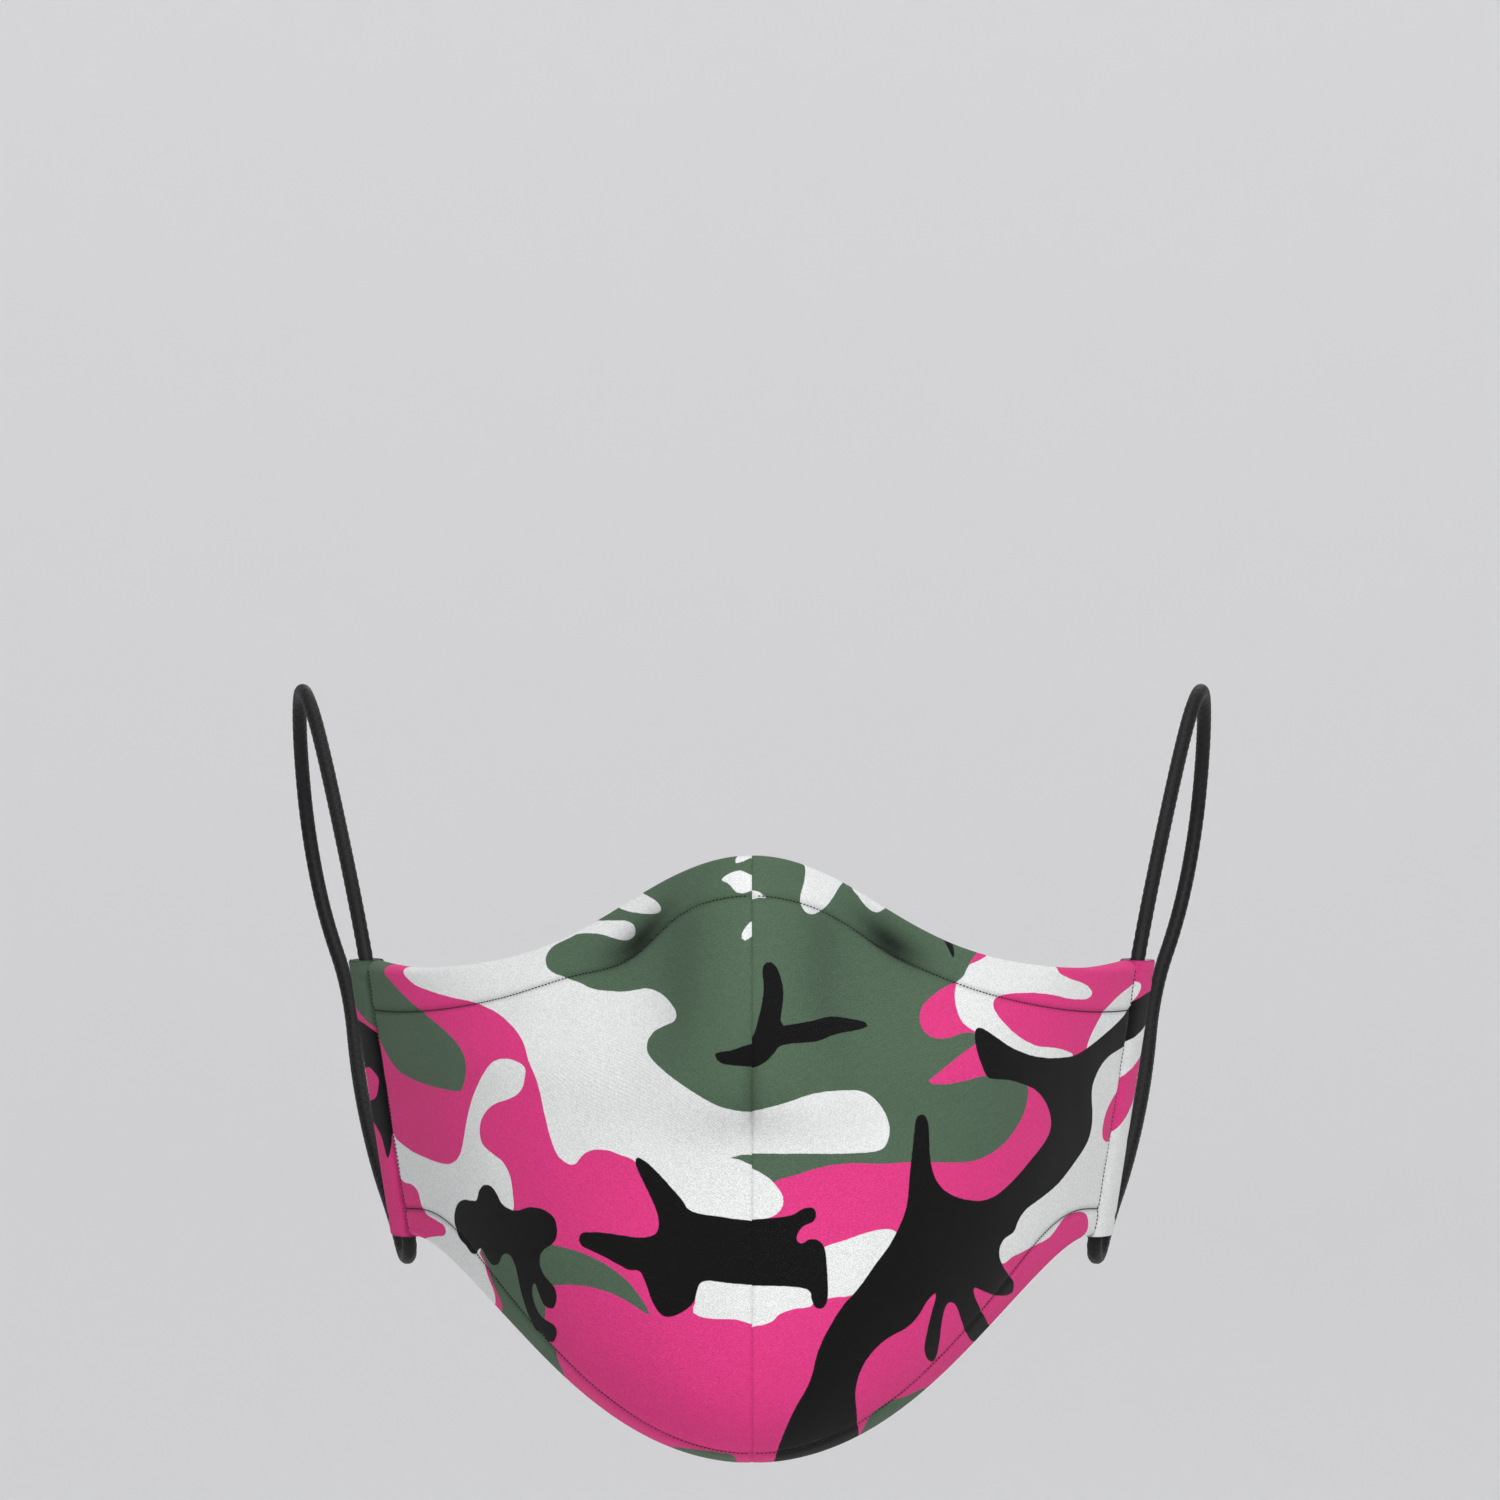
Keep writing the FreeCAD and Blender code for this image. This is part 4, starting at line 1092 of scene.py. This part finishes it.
FINISHES = {
    "centre_seam_tape": WOVEN["seam_tape"], "nose_wire": WOVEN["coated_wire"],
    "nose_wire_cover": WOVEN["seam_tape"], "care_label": WOVEN["label_satin"],
    "filter_face_nonwoven": WOVEN["nonwoven"], "filter_front_nonwoven": WOVEN["nonwoven"],
    "filter_inner_meltblown": WOVEN["meltblown"], "filter_outer_meltblown": WOVEN["meltblown"],
    "filter_carbon_cloth": WOVEN["carbon_cloth"],
    "ear_loop_core_left": ELASTIC, "ear_loop_core_right": ELASTIC,
    "ear_loop_join_left": BLACK_THREAD, "ear_loop_join_right": BLACK_THREAD,
}
for node, material in FINISHES.items():
    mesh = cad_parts[node].data
    mesh.materials.clear()
    mesh.materials.append(material)


# ---------------------------------------------------------------- floor, light and camera
FLOOR_HEIGHT = -0.30
FLOOR_RADIUS = 2.4
WALL_CURVE = 1.0
WALL_TOP = 3.0
FLOOR_SIDES = 72
CURVE_STEPS = 16


def floor_and_backdrop():
    """A pale round floor that curves up into a pale wall all round."""
    section = [(0.02, FLOOR_HEIGHT), (FLOOR_RADIUS, FLOOR_HEIGHT)]
    for k in range(1, CURVE_STEPS + 1):
        turn = math.pi / 2 * k / CURVE_STEPS
        section.append((FLOOR_RADIUS + WALL_CURVE * math.sin(turn),
                        FLOOR_HEIGHT + WALL_CURVE * (1 - math.cos(turn))))
    section.append((FLOOR_RADIUS + WALL_CURVE, WALL_TOP))
    points = []
    for radius, z in section:
        for k in range(FLOOR_SIDES):
            turn = 2 * math.pi * k / FLOOR_SIDES
            points.append((radius * math.cos(turn), radius * math.sin(turn), z))
    faces = [tuple(range(FLOOR_SIDES))] + tube_quads(len(section), FLOOR_SIDES).tolist()
    mesh = bpy.data.meshes.new("floor")
    mesh.from_pydata(points, [], faces)
    mesh.polygons.foreach_set("use_smooth", [True] * len(faces))
    floor = bpy.data.objects.new("floor", mesh)
    bpy.context.scene.collection.objects.link(floor)
    paint = bpy.data.materials.new("floor_paint")
    paint.use_nodes = True
    paint.node_tree.nodes["Principled BSDF"].inputs["Base Color"].default_value = (0.88, 0.88, 0.89, 1)
    paint.node_tree.nodes["Principled BSDF"].inputs["Roughness"].default_value = 0.9
    mesh.materials.append(paint)


def area_light(name, place, target, size, power):
    """A round soft light that faces its target."""
    light = bpy.data.lights.new(name, "AREA")
    light.shape = "DISK"
    light.size = size
    light.energy = power
    lamp = bpy.data.objects.new(name, light)
    lamp.location = place
    lamp.rotation_euler = (Vector(target) - Vector(place)).to_track_quat("-Z", "Y").to_euler()
    bpy.context.scene.collection.objects.link(lamp)


def light_and_camera():
    """Soft light from the front and back, a lit wall, and a camera straight ahead of the mask."""
    middle = (0, 0.03, -0.04)
    area_light("key", (0.3, -1.5, 1.0), middle, 0.45, 22.0)
    area_light("fill", (-0.8, -1.6, 0.1), middle, 0.8, 1.2)
    area_light("back", (0.3, 1.9, 1.2), middle, 0.8, 5.0)
    area_light("wall_front", (0, 0.5, 1.6), (0, 3.4, 0.2), 1.2, 32.0)
    area_light("wall_back", (0, -0.5, 1.9), (0, -3.4, 0.2), 1.2, 14.0)
    world = bpy.data.worlds.new("studio")
    world.use_nodes = True
    world.node_tree.nodes["Background"].inputs["Color"].default_value = (1, 1, 1, 1)
    world.node_tree.nodes["Background"].inputs["Strength"].default_value = 0.06
    scene = bpy.context.scene
    scene.world = world
    scene.view_settings.view_transform = "Standard"
    lens = bpy.data.cameras.new("camera")
    lens.sensor_width = 36
    lens.lens = 233.8
    lens.clip_start = 0.05
    lens.clip_end = 20
    camera = bpy.data.objects.new("camera", lens)
    camera.location = (-0.0003, -1.5, 0.0171)
    camera.rotation_euler = (math.pi / 2, 0, 0)
    scene.collection.objects.link(camera)
    scene.camera = camera


floor_and_backdrop()
light_and_camera()
